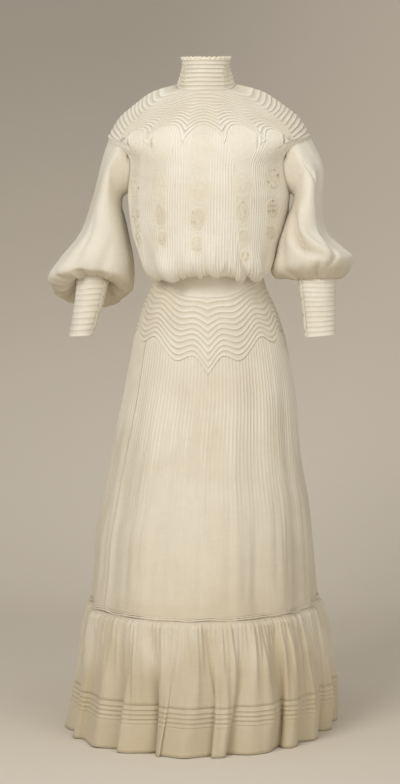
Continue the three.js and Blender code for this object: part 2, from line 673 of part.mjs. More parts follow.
/** Places of a bodice panel, from the scallops to the waist; its rows are level below SETTLED_DOWN. */
function panelPlaces(shares) {
  return panelDowns.map((down) => shares.map((share) => {
    const level = clamp01((down - TIP_DOWN) / (SETTLED_DOWN - TIP_DOWN));
    return [90 * share, down > SETTLED_DOWN ? down : mix(yokeEdge(share), SETTLED_DOWN, level)];
  }));
}

function buildBodice() {
  const front = { wall: BODICE_WALL };
  addPiece('yoke_front', wallGeometry(frontPoint, yokePlaces(frontShares), front), lawn);
  addPiece('bodice_front', wallGeometry(frontPoint, panelPlaces(frontShares), front), lawn);
  const halves = { left: halfBackShares, right: halfBackShares.map((share) => -share).reverse() };
  Object.entries(halves).forEach(([side, shares]) => {
    const ways = { outward: -1, mirrored: side === 'left', wall: BODICE_WALL };
    addPiece(`yoke_back_${side}`, wallGeometry(backPoint, yokePlaces(shares), ways), lawn);
    addPiece(`bodice_back_${side}`, wallGeometry(backPoint, panelPlaces(shares), ways), lawn);
  });
}

/** The strip that covers the closing at the centre back, on the back panels' own places. */
function buildBackPlacket() {
  const shares = [-PLACKET_SHARE, 0, PLACKET_SHARE];
  const rows = [...yokePlaces(shares), ...panelPlaces(shares)].filter((row) => row[0][1] <= PLACKET_FOOT);
  const ways = { outward: -1, wall: LACE_WALL, lift: LACE_WALL + LACE_LIFT };
  addPiece('back_placket', wallGeometry(backPoint, rows, ways), lawn);
}

// ---- lace medallions --------------------------------------------------------------------------------

const medallions = [
  { column: 'centre', row: 1, x: 1, z: -116, width: 62, height: 66 },
  { column: 'centre', row: 2, x: 1, z: -197, width: 46, height: 64 },
  { column: 'centre', row: 3, x: -2, z: -262, width: 37, height: 52 },
  { column: 'centre', row: 4, x: -4, z: -314, width: 27, height: 40 },
  { column: 'right', row: 1, x: -87, z: -101, width: 52, height: 72 },
  { column: 'right', row: 2, x: -90, z: -190, width: 38, height: 58 },
  { column: 'right', row: 3, x: -85, z: -253, width: 27, height: 50 },
  { column: 'right', row: 4, x: -80, z: -302, width: 20, height: 34 },
  { column: 'left', row: 1, x: 86, z: -101, width: 56, height: 70 },
  { column: 'left', row: 2, x: 91, z: -187, width: 45, height: 54 },
  { column: 'left', row: 3, x: 91, z: -247, width: 33, height: 52 },
  { column: 'left', row: 4, x: 93, z: -299, width: 22, height: 36 },
  { column: 'left', row: 5, x: 95, z: -337, width: 15, height: 23 },
  { column: 'right_side', row: 1, x: -141, z: -112, width: 26, height: 40 },
  { column: 'right_side', row: 2, x: -146, z: -190, width: 30, height: 52 },
  { column: 'right_side', row: 3, x: -143, z: -254, width: 24, height: 46 },
  { column: 'right_side', row: 4, x: -137, z: -302, width: 18, height: 32 },
  { column: 'left_side', row: 1, x: 154, z: -100, width: 34, height: 56 },
  { column: 'left_side', row: 2, x: 152, z: -178, width: 30, height: 52 },
  { column: 'left_side', row: 3, x: 150, z: -240, width: 24, height: 44 },
  { column: 'left_side', row: 4, x: 146, z: -290, width: 18, height: 34 },
];

/** The turn and distance down at which the bodice front passes x and z, closed in on in small passes. */
const FRONT_PASSES = 40;
const FRONT_WIDTH_PER_SHARE = 260;
const DOWN_PER_PASS = 0.8;
const FRONT_SHARE_LIMIT = 0.97;
function placeOnFront(x, z) {
  let share = x / ARMHOLE.topX;
  let down = TIP_DOWN;
  for (let pass = 0; pass < FRONT_PASSES; pass += 1) {
    const point = frontPoint(90 * share, down);
    const nearer = share + (x - point[0]) / FRONT_WIDTH_PER_SHARE;
    share = Math.min(FRONT_SHARE_LIMIT, Math.max(-FRONT_SHARE_LIMIT, nearer));
    down += (point[2] - z) * DOWN_PER_PASS;
  }
  return [90 * share, down];
}

/** A lace oval: rings of points on the panel round its middle, each moved out along the panel's normal. */
const OVAL_CORNERS = 10;
const TALL_OVAL = 54;
function buildMedallion({ column, row, x, z, width, height }) {
  const corners = OVAL_CORNERS;
  const rings = height > TALL_OVAL ? [0.5, 1] : [1];
  const place = (dx, dz) => {
    const [turn, down] = placeOnFront(x + dx, z + dz);
    return { point: frontPoint(turn, down), normal: normalOf(frontPoint, turn, down, BODY_REACH, 1) };
  };
  const places = [place(0, 0)];
  rings.forEach((ring) => {
    for (let k = 0; k < corners; k += 1) {
      const angle = (360 / corners) * k * RAD;
      places.push(place((ring * width * Math.cos(angle)) / 2, (ring * height * Math.sin(angle)) / 2));
    }
  });
  const moved = (distance) => places.map(({ point, normal }) => {
    return point.map((value, k) => value + distance * normal[k]);
  });
  const vertices = [...moved(LACE_LIFT + LACE_WALL), ...moved(LACE_LIFT)];
  const under = places.length;
  const at = (ring, k) => 1 + ring * corners + (k % corners);
  const faces = [];
  for (let k = 0; k < corners; k += 1) {
    faces.push([0, at(0, k), at(0, k + 1)], [under, under + at(0, k + 1), under + at(0, k)]);
    for (let ring = 1; ring < rings.length; ring += 1) {
      const quad = [at(ring - 1, k), at(ring, k), at(ring, k + 1), at(ring - 1, k + 1)];
      faces.push(quad, turnedOver(quad).map((corner) => under + corner));
    }
    const [a, b] = [at(rings.length - 1, k), at(rings.length - 1, k + 1)];
    faces.push([a, under + a, under + b, b]);
  }
  addPiece(`lace_${column}_${row}`, closedBody(vertices, faces), lace);
}

// ---- sleeves ----------------------------------------------------------------------------------------

const CUFF_BUTTONS = 4;
const CUFF_BUTTON_RADIUS = 3;
const CUFF_BUTTON_THICKNESS = 1.6;
const CUFF_BUTTON_CLEARANCE = 1.2;
const CUFF_BUTTON_SIDES = 8;
const CUFF_BUTTON_RINGS = { first: 0.35, last: 1.8 };
const PLACKET_ANGLE = 150;
const PLACKET_HALF_ANGLE = 9;
const SLEEVE_RINGS = [0, 0.6, 1.3, 2.4, 4, 5, 6, 7, 8, 9, 10];

function buildArm(arm) {
  const angles = steps(0, 360, SLEEVE_STEPS).slice(0, -1);
  const ways = { closed: true, outward: -arm.side, reach: RING_REACH };
  const sleeve = (angle, ring) => sleevePoint(arm, angle, ring);
  const cuff = (angle, ring) => ringPoint(arm.cuffRows, angle, ring);
  const sleevePlaces = placesOf(angles, SLEEVE_RINGS);
  addPiece(`sleeve_${arm.name}`, wallGeometry(sleeve, sleevePlaces, { ...ways, squareTop: true }), lawn);
  addPiece(`cuff_${arm.name}`, wallGeometry(cuff, placesOf(angles, [0, 1, 2]), ways), lawn);
  const stripAngles = steps(PLACKET_ANGLE - PLACKET_HALF_ANGLE, PLACKET_ANGLE + PLACKET_HALF_ANGLE, 2);
  const strip = placesOf(stripAngles, [0.12, 1, 1.97]);
  const stripWays = { outward: -arm.side, reach: RING_REACH, wall: LACE_WALL, lift: LACE_WALL + LACE_LIFT };
  addPiece(`cuff_placket_${arm.name}`, wallGeometry(cuff, strip, stripWays), lawn);
  buildCuffButtons(arm);
}

/** The round buttons down the lapped strip of a cuff. */
function buildCuffButtons(arm) {
  for (let k = 0; k < CUFF_BUTTONS; k += 1) {
    const ring = mix(CUFF_BUTTON_RINGS.first, CUFF_BUTTON_RINGS.last, k / (CUFF_BUTTONS - 1));
    const [x, y, z] = ringPoint(arm.cuffRows, PLACKET_ANGLE, ring);
    const [farX, farY] = ringPoint(arm.cuffRows, PLACKET_ANGLE + 180, ring);
    const way = new THREE.Vector3(x - farX, y - farY, 0).normalize();
    const radius = CUFF_BUTTON_RADIUS;
    const disc = new THREE.CylinderGeometry(radius, radius, CUFF_BUTTON_THICKNESS, CUFF_BUTTON_SIDES);
    const mesh = addPiece(`cuff_button_${arm.name}_${k + 1}`, disc, button);
    const out = LACE_WALL + LACE_LIFT + CUFF_BUTTON_THICKNESS / 2 + CUFF_BUTTON_CLEARANCE;
    mesh.position.set(x + out * way.x, y + out * way.y, z);
    mesh.quaternion.setFromUnitVectors(new THREE.Vector3(0, 1, 0), way);
  }
}

// ---- waist, hips, skirt, flounce --------------------------------------------------------------------

/** Turns of a run of whole grid steps round the body. */
function gore(fromStep, toStep, count) {
  return Array.from({ length: toStep - fromStep + 1 }, (_, k) => (360 / count) * (fromStep + k));
}

/** Places between two seams, each a height at a turn, on the given levels from 0 to 1. */
function placesBetween(top, foot, levels, turns) {
  return levels.map((level) => turns.map((turn) => [turn, mix(top(turn), foot(turn), level)]));
}

const skirtWays = { outward: -1 };

/** The gores' edges as steps round the body. */
const gores = {
  front: [-7, 7],
  side_left: [7, 15],
  back_left: [15, 24],
  back_right: [24, 33],
  side_right: [33, 41],
};

function buildSkirt() {
  const round = gore(0, BODY_STEPS - 1, BODY_STEPS);
  const waist = () => WAIST_Z - 2 * SEAM_GAP;
  const panelFoot = (turn) => seamHeight(waistPanelEdge, turn);
  const yokeTop = (turn) => panelFoot(turn) - STEEP_SEAM_GAP;
  const yokeFoot = (turn) => seamHeight(hipYokeEdge, turn);
  const goreTop = (turn) => yokeFoot(turn) - STEEP_SEAM_GAP;
  const goreFoot = () => FLOUNCE_SEAM_Z + SEAM_GAP;
  const panel = placesBetween(waist, panelFoot, [0, 1], round);
  addPiece('waist_panel', wallGeometry(skirtPoint, panel, { closed: true, outward: -1 }), skirtLawn);
  const quarter = BODY_STEPS / 4;
  const halves = { front: gore(-quarter, quarter, BODY_STEPS), back: gore(quarter, 3 * quarter, BODY_STEPS) };
  Object.entries(halves).forEach(([name, turns]) => {
    const rows = placesBetween(yokeTop, yokeFoot, [0, 0.33, 0.67, 1], turns);
    addPiece(`hip_yoke_${name}`, wallGeometry(skirtPoint, rows, skirtWays), skirtLawn);
  });
  Object.entries(gores).forEach(([name, [from, to]]) => {
    const rows = placesBetween(goreTop, goreFoot, [0, 0.25, 0.5, 0.75, 1], gore(from, to, BODY_STEPS));
    addPiece(`skirt_${name}`, wallGeometry(skirtPoint, rows, skirtWays), skirtLawn);
  });
}

/** The cord above the flounce seam: a ring of four-sided section, moved out from the skirt's points. */
const CORD_THICKNESS = 3.4;
const CORD_ABOVE_SEAM = 6;
function buildFlounceCord() {
  const top = FLOUNCE_SEAM_Z + CORD_THICKNESS + CORD_ABOVE_SEAM;
  const places = placesOf(gore(0, BODY_STEPS - 1, BODY_STEPS), [top, top - CORD_THICKNESS]);
  const ways = { closed: true, outward: -1, wall: CORD_THICKNESS, lift: CORD_THICKNESS + 2 * SEAM_GAP };
  addPiece('flounce_cord', wallGeometry(skirtPoint, places, ways), skirtLawn);
}

const FLOUNCE_MIDDLE_Z = -1180;
function buildFlounce() {
  const quarter = FLOUNCE_STEPS / 4;
  const bandTop = HEM_Z + FLOUNCE_HEM_BAND;
  const halves = {
    front: gore(-quarter, quarter, FLOUNCE_STEPS),
    back: gore(quarter, 3 * quarter, FLOUNCE_STEPS),
  };
  Object.entries(halves).forEach(([name, turns]) => {
    const upper = placesOf(turns, [FLOUNCE_SEAM_Z - SEAM_GAP, FLOUNCE_MIDDLE_Z, bandTop + SEAM_GAP]);
    const hem = placesOf(turns, [bandTop, HEM_Z]);
    addPiece(`flounce_${name}`, wallGeometry(flouncePoint, upper, skirtWays), skirtLawn);
    addPiece(`flounce_hem_${name}`, wallGeometry(flouncePoint, hem, skirtWays), skirtLawn);
  });
}

// ---- the dress --------------------------------------------------------------------------------------

buildCollar();
buildBodice();
buildBackPlacket();
medallions.forEach(buildMedallion);
[rightArm, leftArm].forEach(buildArm);
buildSkirt();
buildFlounceCord();
buildFlounce();

export default dress;
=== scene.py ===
"""Day dress of fine cream cotton lawn, in the shape in which it is worn.

Laid out as an add-on and run as a script. Each piece is a surface point(across, down) worked out with
numpy on a grid, with its tucks, gathers and folds moved out along the surface's normals, given a thin
wall. Sizes are in millimetres in the same frame as the part; meshes are in metres.
"""

import math

import bmesh
import bpy
import numpy as np
from bpy.props import FloatProperty, FloatVectorProperty, PointerProperty
from bpy.types import Operator, Panel, PropertyGroup
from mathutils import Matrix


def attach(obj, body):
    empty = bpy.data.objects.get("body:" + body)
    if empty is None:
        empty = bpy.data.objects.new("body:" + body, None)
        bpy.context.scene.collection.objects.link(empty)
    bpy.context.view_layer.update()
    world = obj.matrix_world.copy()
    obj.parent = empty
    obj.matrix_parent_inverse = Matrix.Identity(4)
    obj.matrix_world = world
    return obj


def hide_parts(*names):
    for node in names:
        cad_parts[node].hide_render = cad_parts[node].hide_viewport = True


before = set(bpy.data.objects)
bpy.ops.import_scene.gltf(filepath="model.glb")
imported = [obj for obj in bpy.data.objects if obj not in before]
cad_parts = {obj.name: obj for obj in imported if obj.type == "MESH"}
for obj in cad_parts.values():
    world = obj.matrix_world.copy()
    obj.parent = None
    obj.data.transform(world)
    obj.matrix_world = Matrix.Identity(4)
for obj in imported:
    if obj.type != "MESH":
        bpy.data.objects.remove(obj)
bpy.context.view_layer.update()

bl_info = {
    "name": "Day Dress",
    "version": (1, 0, 0),
    "blender": (4, 5, 0),
    "location": "View3D > Sidebar > Dress",
    "description": "Makes a tucked cotton day dress piece by piece",
    "category": "Object",
}

MM = 0.001

# ---- sizes, as in the part --------------------------------------------------------------------------

# Heights from the base of the neck, and the shoulders' height over the floor.
SHOULDER_HEIGHT = 1365
WAIST_Z = -367
FLOUNCE_SEAM_Z = -1091
HEM_Z = -1360
HEM_BAND_TOP_Z = -1264
# Distances down over the cloth from the collar's seam.
TIP_DOWN = 134
UNDERARM_DOWN = 258
SETTLED_DOWN = 206
WAIST_DOWN = 487
# The shoulders' shift to the left, and the armholes.
SHOULDER_LEAN = 6
ARMHOLE_TOP_X, ARMHOLE_MID_X, ARMHOLE_BOTTOM_X = 218, 163, 175
ARMHOLE_TOP_Z, ARMHOLE_BOTTOM_Z = -78, -202
HANGING_HALF = 176
ARMHOLE_FRONT, ARMHOLE_BACK = 57, 60
ARMHOLE_UNWRAP = 24
ARMHOLE_POINT = 0.9
# How far one piece lies under the next.
SEAM_LAP = 3.0
YOKE_LAP = 10.0


def table(header, *rows):
    """Rows of numbers as named columns."""
    return dict(zip(header.split(), np.array(rows, float).T))


def rows_of(rows):
    """The rows of a table, each as its values in the header's order."""
    return zip(*rows.values())


def in_mm(metres):
    """A length of the settings in millimetres."""
    return metres * 1000


def mix(a, b, share):
    """a + (b - a) share."""
    return a + (b - a) * share


def smooth(value):
    """A soft step from 0 at 0 to 1 at 1."""
    t = np.clip(value, 0, 1)
    return t * t * (3 - 2 * t)


def within(value, start, rise, end, fall):
    """1 between start + rise and end, with a soft step up after start and a soft step down after end."""
    return smooth((value - start) / rise) * (1 - smooth((value - end) / fall))


def bump(distance):
    """A bell curve of height 1, exp(-distance squared)."""
    return np.exp(-distance * distance)


def sind(angle):
    """Sine of an angle in degrees."""
    return np.sin(np.radians(angle))


def cosd(angle):
    """Cosine of an angle in degrees."""
    return np.cos(np.radians(angle))


def wrap_turn(turn):
    """A turn brought into -180..180."""
    return (turn + 180) % 360 - 180


def along(rows, key, name, place):
    """A column's value at a place along its key column, on a smooth cubic through the rows."""
    keys, values = rows[key], rows[name]
    if keys[0] > keys[-1]:
        keys, values = keys[::-1], values[::-1]
    last = len(keys) - 1
    before = np.maximum(np.arange(last + 1) - 1, 0)
    after = np.minimum(np.arange(last + 1) + 1, last)
    slopes = (values[after] - values[before]) / (keys[after] - keys[before])
    i = np.clip(np.searchsorted(keys, place) - 1, 0, last - 1)
    span = keys[i + 1] - keys[i]
    t = np.clip((place - keys[i]) / span, 0, 1)
    rise = slopes[i] * (t**3 - 2 * t**2 + t) + slopes[i + 1] * (t**3 - t**2)
    return values[i] * (2 * t**3 - 3 * t**2 + 1) + values[i + 1] * (3 * t**2 - 2 * t**3) + span * rise


def wavering(u, v, seed, waves=7):
    """A soft uneven field between about -1 and 1: a mean of sines with seeded directions and phases."""
    draw = np.random.default_rng(seed)
    total = 0
    for _ in range(waves):
        ahead, aside, phase = draw.uniform(0.4, 2.2), draw.uniform(-2.2, 2.2), draw.uniform(0, 6.28)
        total = total + np.sin(ahead * u + aside * v + phase)
    return total / math.sqrt(waves)


def sway(amount, u, v, seed, place):
    """An uneven drift of a run of tucks, none at its two ends (place 0 and 1)."""
    return amount * wavering(u, v, seed) * np.sin(np.pi * place)


def unevenly(heights, share, u, v, seed):
    """Heights of a run of tucks, uneven by a share of themselves."""
    return heights * (1 - share + share * wavering(u, v, seed))


# ---- the body's surface -----------------------------------------------------------------------------

SHOULDER_LINE = table(
    "down x z",
    (0, 64, 31), (24, 94, 24), (56, 127, 12), (94, 168, -17), (114, 194, -39),
    (TIP_DOWN, ARMHOLE_TOP_X, ARMHOLE_TOP_Z),
)
SIDE_SEAM = table(
    "down x z",
    (UNDERARM_DOWN, ARMHOLE_BOTTOM_X, ARMHOLE_BOTTOM_Z),
    (291, 172, -240), (333, 165, -290), (373, 152, -328), (403, 141, -350), (430, 131, -363),
    (465, 121, -368), (WAIST_DOWN, 116, WAIST_Z),
)
CENTRE_LINE = table(
    "down front_y front_z back_y back_z",
    (0, -60, 16, 52, 38), (24, -74, -4, 70, 26), (56, -92, -30, 87, 6), (94, -112, -62, 99, -26),
    (TIP_DOWN, -131, -97, 106, -68), (206, -154, -166, 112, -150), (UNDERARM_DOWN, -166, -217, 111, -212),
    (291, -170, -250, 108, -250), (333, -176, -292, 104, -292), (373, -181, -332, 106, -330),
    (403, -176, -362, 112, -352), (430, -155, -379, 114, -368), (465, -120, -375, 107, -373),
    (WAIST_DOWN, -99, WAIST_Z, 100, WAIST_Z),
)
BLOUSE_PUFFS = table(
    "share width out",
    (-0.78, 0.13, 5), (-0.44, 0.15, 9), (-0.12, 0.1, 4), (0.14, 0.1, 4), (0.46, 0.16, 10), (0.8, 0.12, 6),
)
PUFF_TOP, PUFF_FULL, PUFF_FOOT = 330, 420, 440
NECK_ROUNDING, SHOULDER_ROUNDING, ROUNDING_DOWN = 1.8, 1.2, 50
SIDE_EASE = 2.5


def armhole_angle(down):
    """Angle round the armhole from the shoulder tip, at a distance down."""
    return 180 * np.clip((down - TIP_DOWN) / (UNDERARM_DOWN - TIP_DOWN), 0, 1)


def armhole_point(angle, face):
    """x, y, z of the armhole seam: pointed at the shoulder tip (0) and round at the underarm (180)."""
    up = cosd(angle)
    end_x = np.where(up > 0, ARMHOLE_TOP_X, ARMHOLE_BOTTOM_X)
    depth = np.where(np.asarray(face) < 0, ARMHOLE_FRONT, ARMHOLE_BACK)
    fallen = mix((1 - up) / 2, angle / 180, ARMHOLE_POINT * cosd(angle / 2) ** 2)
    x = mix(ARMHOLE_MID_X, end_x, up * up)
    return x, face * depth * sind(angle), mix(ARMHOLE_TOP_Z, ARMHOLE_BOTTOM_Z, fallen)


def side_point(down, face):
    """x, y, z of the edge that a section reaches: shoulder line, armhole or side seam."""
    x, y, z = armhole_point(armhole_angle(down), face)
    for rows, there in ((SHOULDER_LINE, down < TIP_DOWN), (SIDE_SEAM, down > UNDERARM_DOWN)):
        x = np.where(there, along(rows, "down", "x", down), x)
        y = np.where(there, 0, y)
        z = np.where(there, along(rows, "down", "z", down), z)
    return x, y, z


def wrap_of(down):
    """Half the angle that a section spans, narrower between the armholes."""
    return np.radians(90 - ARMHOLE_UNWRAP * sind(armhole_angle(down)))


def body_point(face, share, down):
    """A point of the yoke and bodice on one face, front -1 or back 1.

    With t = share * wrap: x = side sin t / sin wrap, and y and z run from the centre line to the side edge
    by (1 - cos t) / (1 - cos wrap), z by a power of it. Puffs move the pouch over the waist outwards.
    """
    share, down = np.broadcast_arrays(np.asarray(share, float), np.asarray(down, float))
    side_x, side_y, side_z = side_point(down, face)
    wrap = wrap_of(down)
    t = share * wrap
    round_share = (1 - np.cos(t)) / (1 - np.cos(wrap))
    name = "front" if face < 0 else "back"
    shoulder = smooth((down - ROUNDING_DOWN) / (TIP_DOWN - ROUNDING_DOWN))
    power = mix(NECK_ROUNDING, SHOULDER_ROUNDING, shoulder)
    grown = within(down, PUFF_TOP, PUFF_FULL - PUFF_TOP, PUFF_FOOT, WAIST_DOWN - PUFF_FOOT)
    out = sum(o * bump((share - s) / w) for s, w, o in rows_of(BLOUSE_PUFFS))
    x = SHOULDER_LEAN * smooth(down / TIP_DOWN) + side_x * np.sin(t) / np.sin(wrap)
    y = mix(along(CENTRE_LINE, "down", name + "_y", down), side_y, round_share) + face * out * grown
    z = mix(along(CENTRE_LINE, "down", name + "_z", down), side_z, round_share**power) - 0.5 * out * grown
    return np.stack([x, y, z], -1)


def hanging_share(column, down, face):
    """Share at which a column of cloth that hangs straight passes a distance down.

    With s = sin of the column, x = h s - (h - side x) |s|^ease, h being the chest's half width: columns near
    the middle keep their x, and those near the sides close up or spread to meet the edge.
    """
    s = sind(90 * column)
    side_x = side_point(down, face)[0]
    x = HANGING_HALF * s - (HANGING_HALF - side_x) * np.sign(s) * np.abs(s) ** SIDE_EASE
    wrap = wrap_of(down)
    return np.arcsin(np.clip(x / side_x * np.sin(wrap), -1, 1)) / wrap


YOKE_FOOT_DOWN = 148
YOKE_ARCHES = table(
    "share half peak",
    (-1, 0.38, TIP_DOWN), (-0.51, 0.11, 112), (-0.2675, 0.1325, 92), (0, 0.135, 92), (0.2675, 0.1325, 92),
    (0.51, 0.11, 112), (1, 0.38, TIP_DOWN),
)
ARCH_SPREAD = 0.37
SOFTEST, SHARPEST = 0.06, 0.9


def yoke_line(share, place):
    """Distance down of the yoke's tuck lines, level at the neck (place 0) and scalloped at the foot (1).

    Each arch is half an ellipse on the foot line; away from the foot it grows. The line is the arches' soft
    minimum, -log(sum exp(-k arch)) / k, whose k falls upwards, so that the points between the arches soften
    line by line. What waviness is left at the neck is taken out over the first lines.
    """
    sharpness = mix(SOFTEST, SHARPEST, np.asarray(place) ** 2)
    line, level = 0, 0
    for middle, half, peak in rows_of(YOKE_ARCHES):
        rise = mix(YOKE_FOOT_DOWN, YOKE_FOOT_DOWN - peak, place)
        reach = (share - middle) / (half + (1 - place) * ARCH_SPREAD)
        arch = YOKE_FOOT_DOWN - rise * np.sqrt(np.maximum(0, 1 - reach**2))
        line = line + np.exp(-sharpness * arch)
        at_neck = (share - middle) / (half + ARCH_SPREAD)
        level = level + np.exp(-SOFTEST * YOKE_FOOT_DOWN * (1 - np.sqrt(np.maximum(0, 1 - at_neck**2))))
    return -np.log(line) / sharpness + np.log(level) / SOFTEST * (1 - place) ** 2


def yoke_edge(share):
    """Lower edge of the scalloped yoke as a distance down."""
    return yoke_line(share, 1.0)


# ---- the skirt's surface ----------------------------------------------------------------------------

SKIRT_SECTIONS = table(
    "z middle half front back flare",
    (WAIST_Z, 6, 116, 99, 100, 0), (-385, 6, 118, 101, 105, 0), (-421, 6, 130, 109, 120, 0),
    (-455, 6, 145, 118, 138, 0), (-490, 7, 157, 127, 155, 0), (-525, 8, 166, 134, 168, 0),
    (-595, 8, 179, 148, 187, 0.01), (-647, 7, 188, 160, 201, 0.02), (-734, 1, 201, 180, 226, 0.04),
    (-803, -2, 213, 199, 251, 0.06), (-873, -2, 227, 220, 278, 0.08), (-942, -5, 238, 245, 308, 0.1),
    (-1012, -5, 243, 275, 341, 0.13), (FLOUNCE_SEAM_Z, -7, 249, 308, 377, 0.17),
)
FLOUNCE_SECTIONS = table(
    "z middle half front back flare",
    (FLOUNCE_SEAM_Z, -7, 251, 310, 379, 0.17), (-1110, -7, 257, 316, 384, 0.18),
    (-1168, -5, 270, 330, 396, 0.21), (-1273, -5, 283, 350, 415, 0.25), (HEM_Z, -15, 291, 368, 434, 0.28),
)
SKIRT_GROOVES = table(
    "turn width depth top",
    (-152, 8, 11, -560), (-126, 9, 13, -600), (-101, 7, 9, -700), (-76, 8, 15, -600), (-43, 9, 7, -780),
    (-14, 7, 5, -830), (13, 8, 6, -800), (39, 9, 7, -760), (64, 7, 9, -700), (88, 8, 12, -640),
    (113, 8, 10, -640), (141, 9, 13, -580), (170, 7, 10, -540),
)
GROOVE_LENGTH = 420
FOLD_DEPTH = 1.25
FOLDS_OPEN = 0.7
FLOUNCE_GROOVES = table(
    "turn width depth",
    (-171, 4.5, 24), (-154, 4, 20), (-138, 5, 27), (-119, 4.5, 22), (-103, 4, 26), (-86, 4.5, 21),
    (-69, 4, 25), (-52, 4.5, 15), (-35, 4, 20), (-18, 5, 34), (-5.5, 3, 13), (7, 3.5, 20), (23, 4, 22),
    (40, 4.5, 30), (57, 4, 17), (73, 4.5, 25), (91, 4, 19), (108, 5, 27), (127, 4.5, 22), (146, 4, 25),
    (164, 4.5, 20),
)


def skirt_groove_depth(turn, z):
    """Inward depth of the skirt's long grooves: bells in turn that deepen downwards from their tops."""
    return sum(
        depth * bump(wrap_turn(turn - middle) / width) * smooth((top - z) / GROOVE_LENGTH)
        for middle, width, depth, top in rows_of(SKIRT_GROOVES)
    )


def section_point(sections, turn, z, inward):
    """x = middle + half sin t, wider behind by the flare, and y = -depth cos t, both moved in."""
    turn, z = np.broadcast_arrays(np.asarray(turn, float), np.asarray(z, float))
    flare = 1 + along(sections, "z", "flare", z) * np.maximum(0, -cosd(turn))
    depth = np.where(cosd(turn) > 0, along(sections, "z", "front", z), along(sections, "z", "back", z))
    x = along(sections, "z", "middle", z) + (along(sections, "z", "half", z) * flare - inward) * sind(turn)
    return np.stack([x, -(depth - inward) * cosd(turn), z], -1)


def skirt_point(turn, z):
    """The skirt's sections with its long grooves moved in."""
    return section_point(SKIRT_SECTIONS, turn, z, skirt_groove_depth(turn, z))


def flounce_fall(z):
    """0 at the flounce's seam and 1 at the hem."""
    return np.clip((FLOUNCE_SEAM_Z - z) / (FLOUNCE_SEAM_Z - HEM_Z), 0, 1)


def flounce_point(turn, z):
    """The flounce: the skirt's grooves die out down it while its own deepen by a power of the fall."""
    fall = flounce_fall(z)
    folds = sum(d * bump(wrap_turn(turn - t) / w) for t, w, d in rows_of(FLOUNCE_GROOVES))
    inward = skirt_groove_depth(turn, FLOUNCE_SEAM_Z) * (1 - fall) + FOLD_DEPTH * folds * fall**FOLDS_OPEN
    return section_point(FLOUNCE_SECTIONS, turn, z, inward)


WAIST_PANEL_EDGE = table(
    "turn z", (0, -424), (22, -419), (45, -399), (72, -385), (110, -384), (150, -390), (180, -402)
)
HIP_YOKE_EDGE = table(
    "turn z",
    (0, -588), (10, -550), (24, -558), (43, -510), (58, -521), (75, -496), (95, -514), (115, -498),
    (135, -514), (152, -500), (168, -524), (180, -548),
)
SEAM_TWIST = 3


def seam_height(rows, turn):
    """Height of a seam round the hips, the same on both sides of a centre turned a little in front."""
    return along(rows, "turn", "z", np.abs(wrap_turn(turn - SEAM_TWIST * np.maximum(0, cosd(turn)))))


# ---- sleeves and cuffs ------------------------------------------------------------------------------

RING_HEADER = "ring out_x out_z in_x in_z front back lift"
RIGHT_RINGS = table(
    RING_HEADER,
    (0, -213, -82, -182, -204, -64, 66, 0), (1, -219, -104, -184, -214, -76, 78, 0),
    (2, -230, -148, -184, -234, -82, 86, 0), (3, -249, -212, -177, -262, -84, 90, 0),
    (4, -275, -284, -166, -306, -92, 96, 4), (5, -321, -346, -157, -348, -104, 100, 14),
    (6, -346, -390, -155, -388, -106, 98, 28), (7, -338, -411, -160, -409, -98, 84, 38),
    (8, -312, -414, -180, -412, -80, 54, 32), (9, -286, -394, -199, -392, -66, 26, 14),
    (10, -278.3, -372, -204.7, -372, -58.8, 18.8, 0),
)
LEFT_RINGS = table(
    RING_HEADER,
    (0, 226, -82, 190, -205, -66, 66, 0), (1, 238, -106, 192, -213, -80, 76, 0),
    (2, 256, -154, 189, -236, -92, 78, 0), (3, 257, -222, 179, -264, -106, 76, 0),
    (4, 264, -283, 167, -300, -122, 72, 4), (5, 299, -320, 158, -332, -136, 66, 8),
    (6, 322, -340, 154, -358, -138, 58, 8), (7, 314, -362, 158, -375, -130, 46, 6),
    (8, 301, -378, 176, -384, -112, 24, 2), (9, 289, -384, 192, -386, -96, 0, 0),
    (10, 283.8, -374, 199.2, -374, -88.8, -11.2, 0),
)
GROOVE_HEADER = "turn width depth top foot"
RIGHT_GROOVES = table(
    GROOVE_HEADER,
    (-150, 16, 9, 3, 10), (-104, 15, 8, 4, 10), (-58, 14, 7, 5, 10), (38, 17, 8, 1, 6),
    (92, 15, 5, 6, 10), (138, 14, 6, 6, 10),
)
LEFT_GROOVES = table(
    GROOVE_HEADER,
    (-140, 16, 8, 3, 10), (-88, 15, 8, 4, 10), (-42, 14, 7, 5, 10), (34, 15, 12, 1, 6.5),
    (82, 15, 5, 6, 10), (128, 14, 6, 6, 10),
)
RIGHT_CUFF = table(
    RING_HEADER,
    (0, -277.5, -372, -205.5, -372, -58, 18, 0), (1, -283, -440, -219, -437, -66, 2, 0),
    (2, -293, -512, -240, -509, -76, -14, 0),
)
LEFT_CUFF = table(
    RING_HEADER,
    (0, 283, -374, 200, -374, -88, -12, 0), (1, 283, -438, 210, -440, -98, -36, 0),
    (2, 283, -505, 218, -511, -108, -56, 0),
)
ARMS = {
    "right": {"side": -1, "rings": RIGHT_RINGS, "grooves": RIGHT_GROOVES, "cuff": RIGHT_CUFF, "tucks": 11},
    "left": {"side": 1, "rings": LEFT_RINGS, "grooves": LEFT_GROOVES, "cuff": LEFT_CUFF, "tucks": 13},
}


def ring_point(rings, angle, ring):
    """A point of a ring: centre + half-width cos angle + depth sin angle, lifted in front."""
    angle, ring = np.broadcast_arrays(np.asarray(angle, float), np.asarray(ring, float))
    column = {name: along(rings, "ring", name, ring) for name in rings if name != "ring"}
    out, ahead = cosd(angle), sind(angle)
    return np.stack([
        mix(column["in_x"], column["out_x"], (1 + out) / 2),
        mix(column["back"], column["front"], (1 + ahead) / 2),
        mix(column["in_z"], column["out_z"], (1 + out) / 2) + column["lift"] * ahead,
    ], -1)


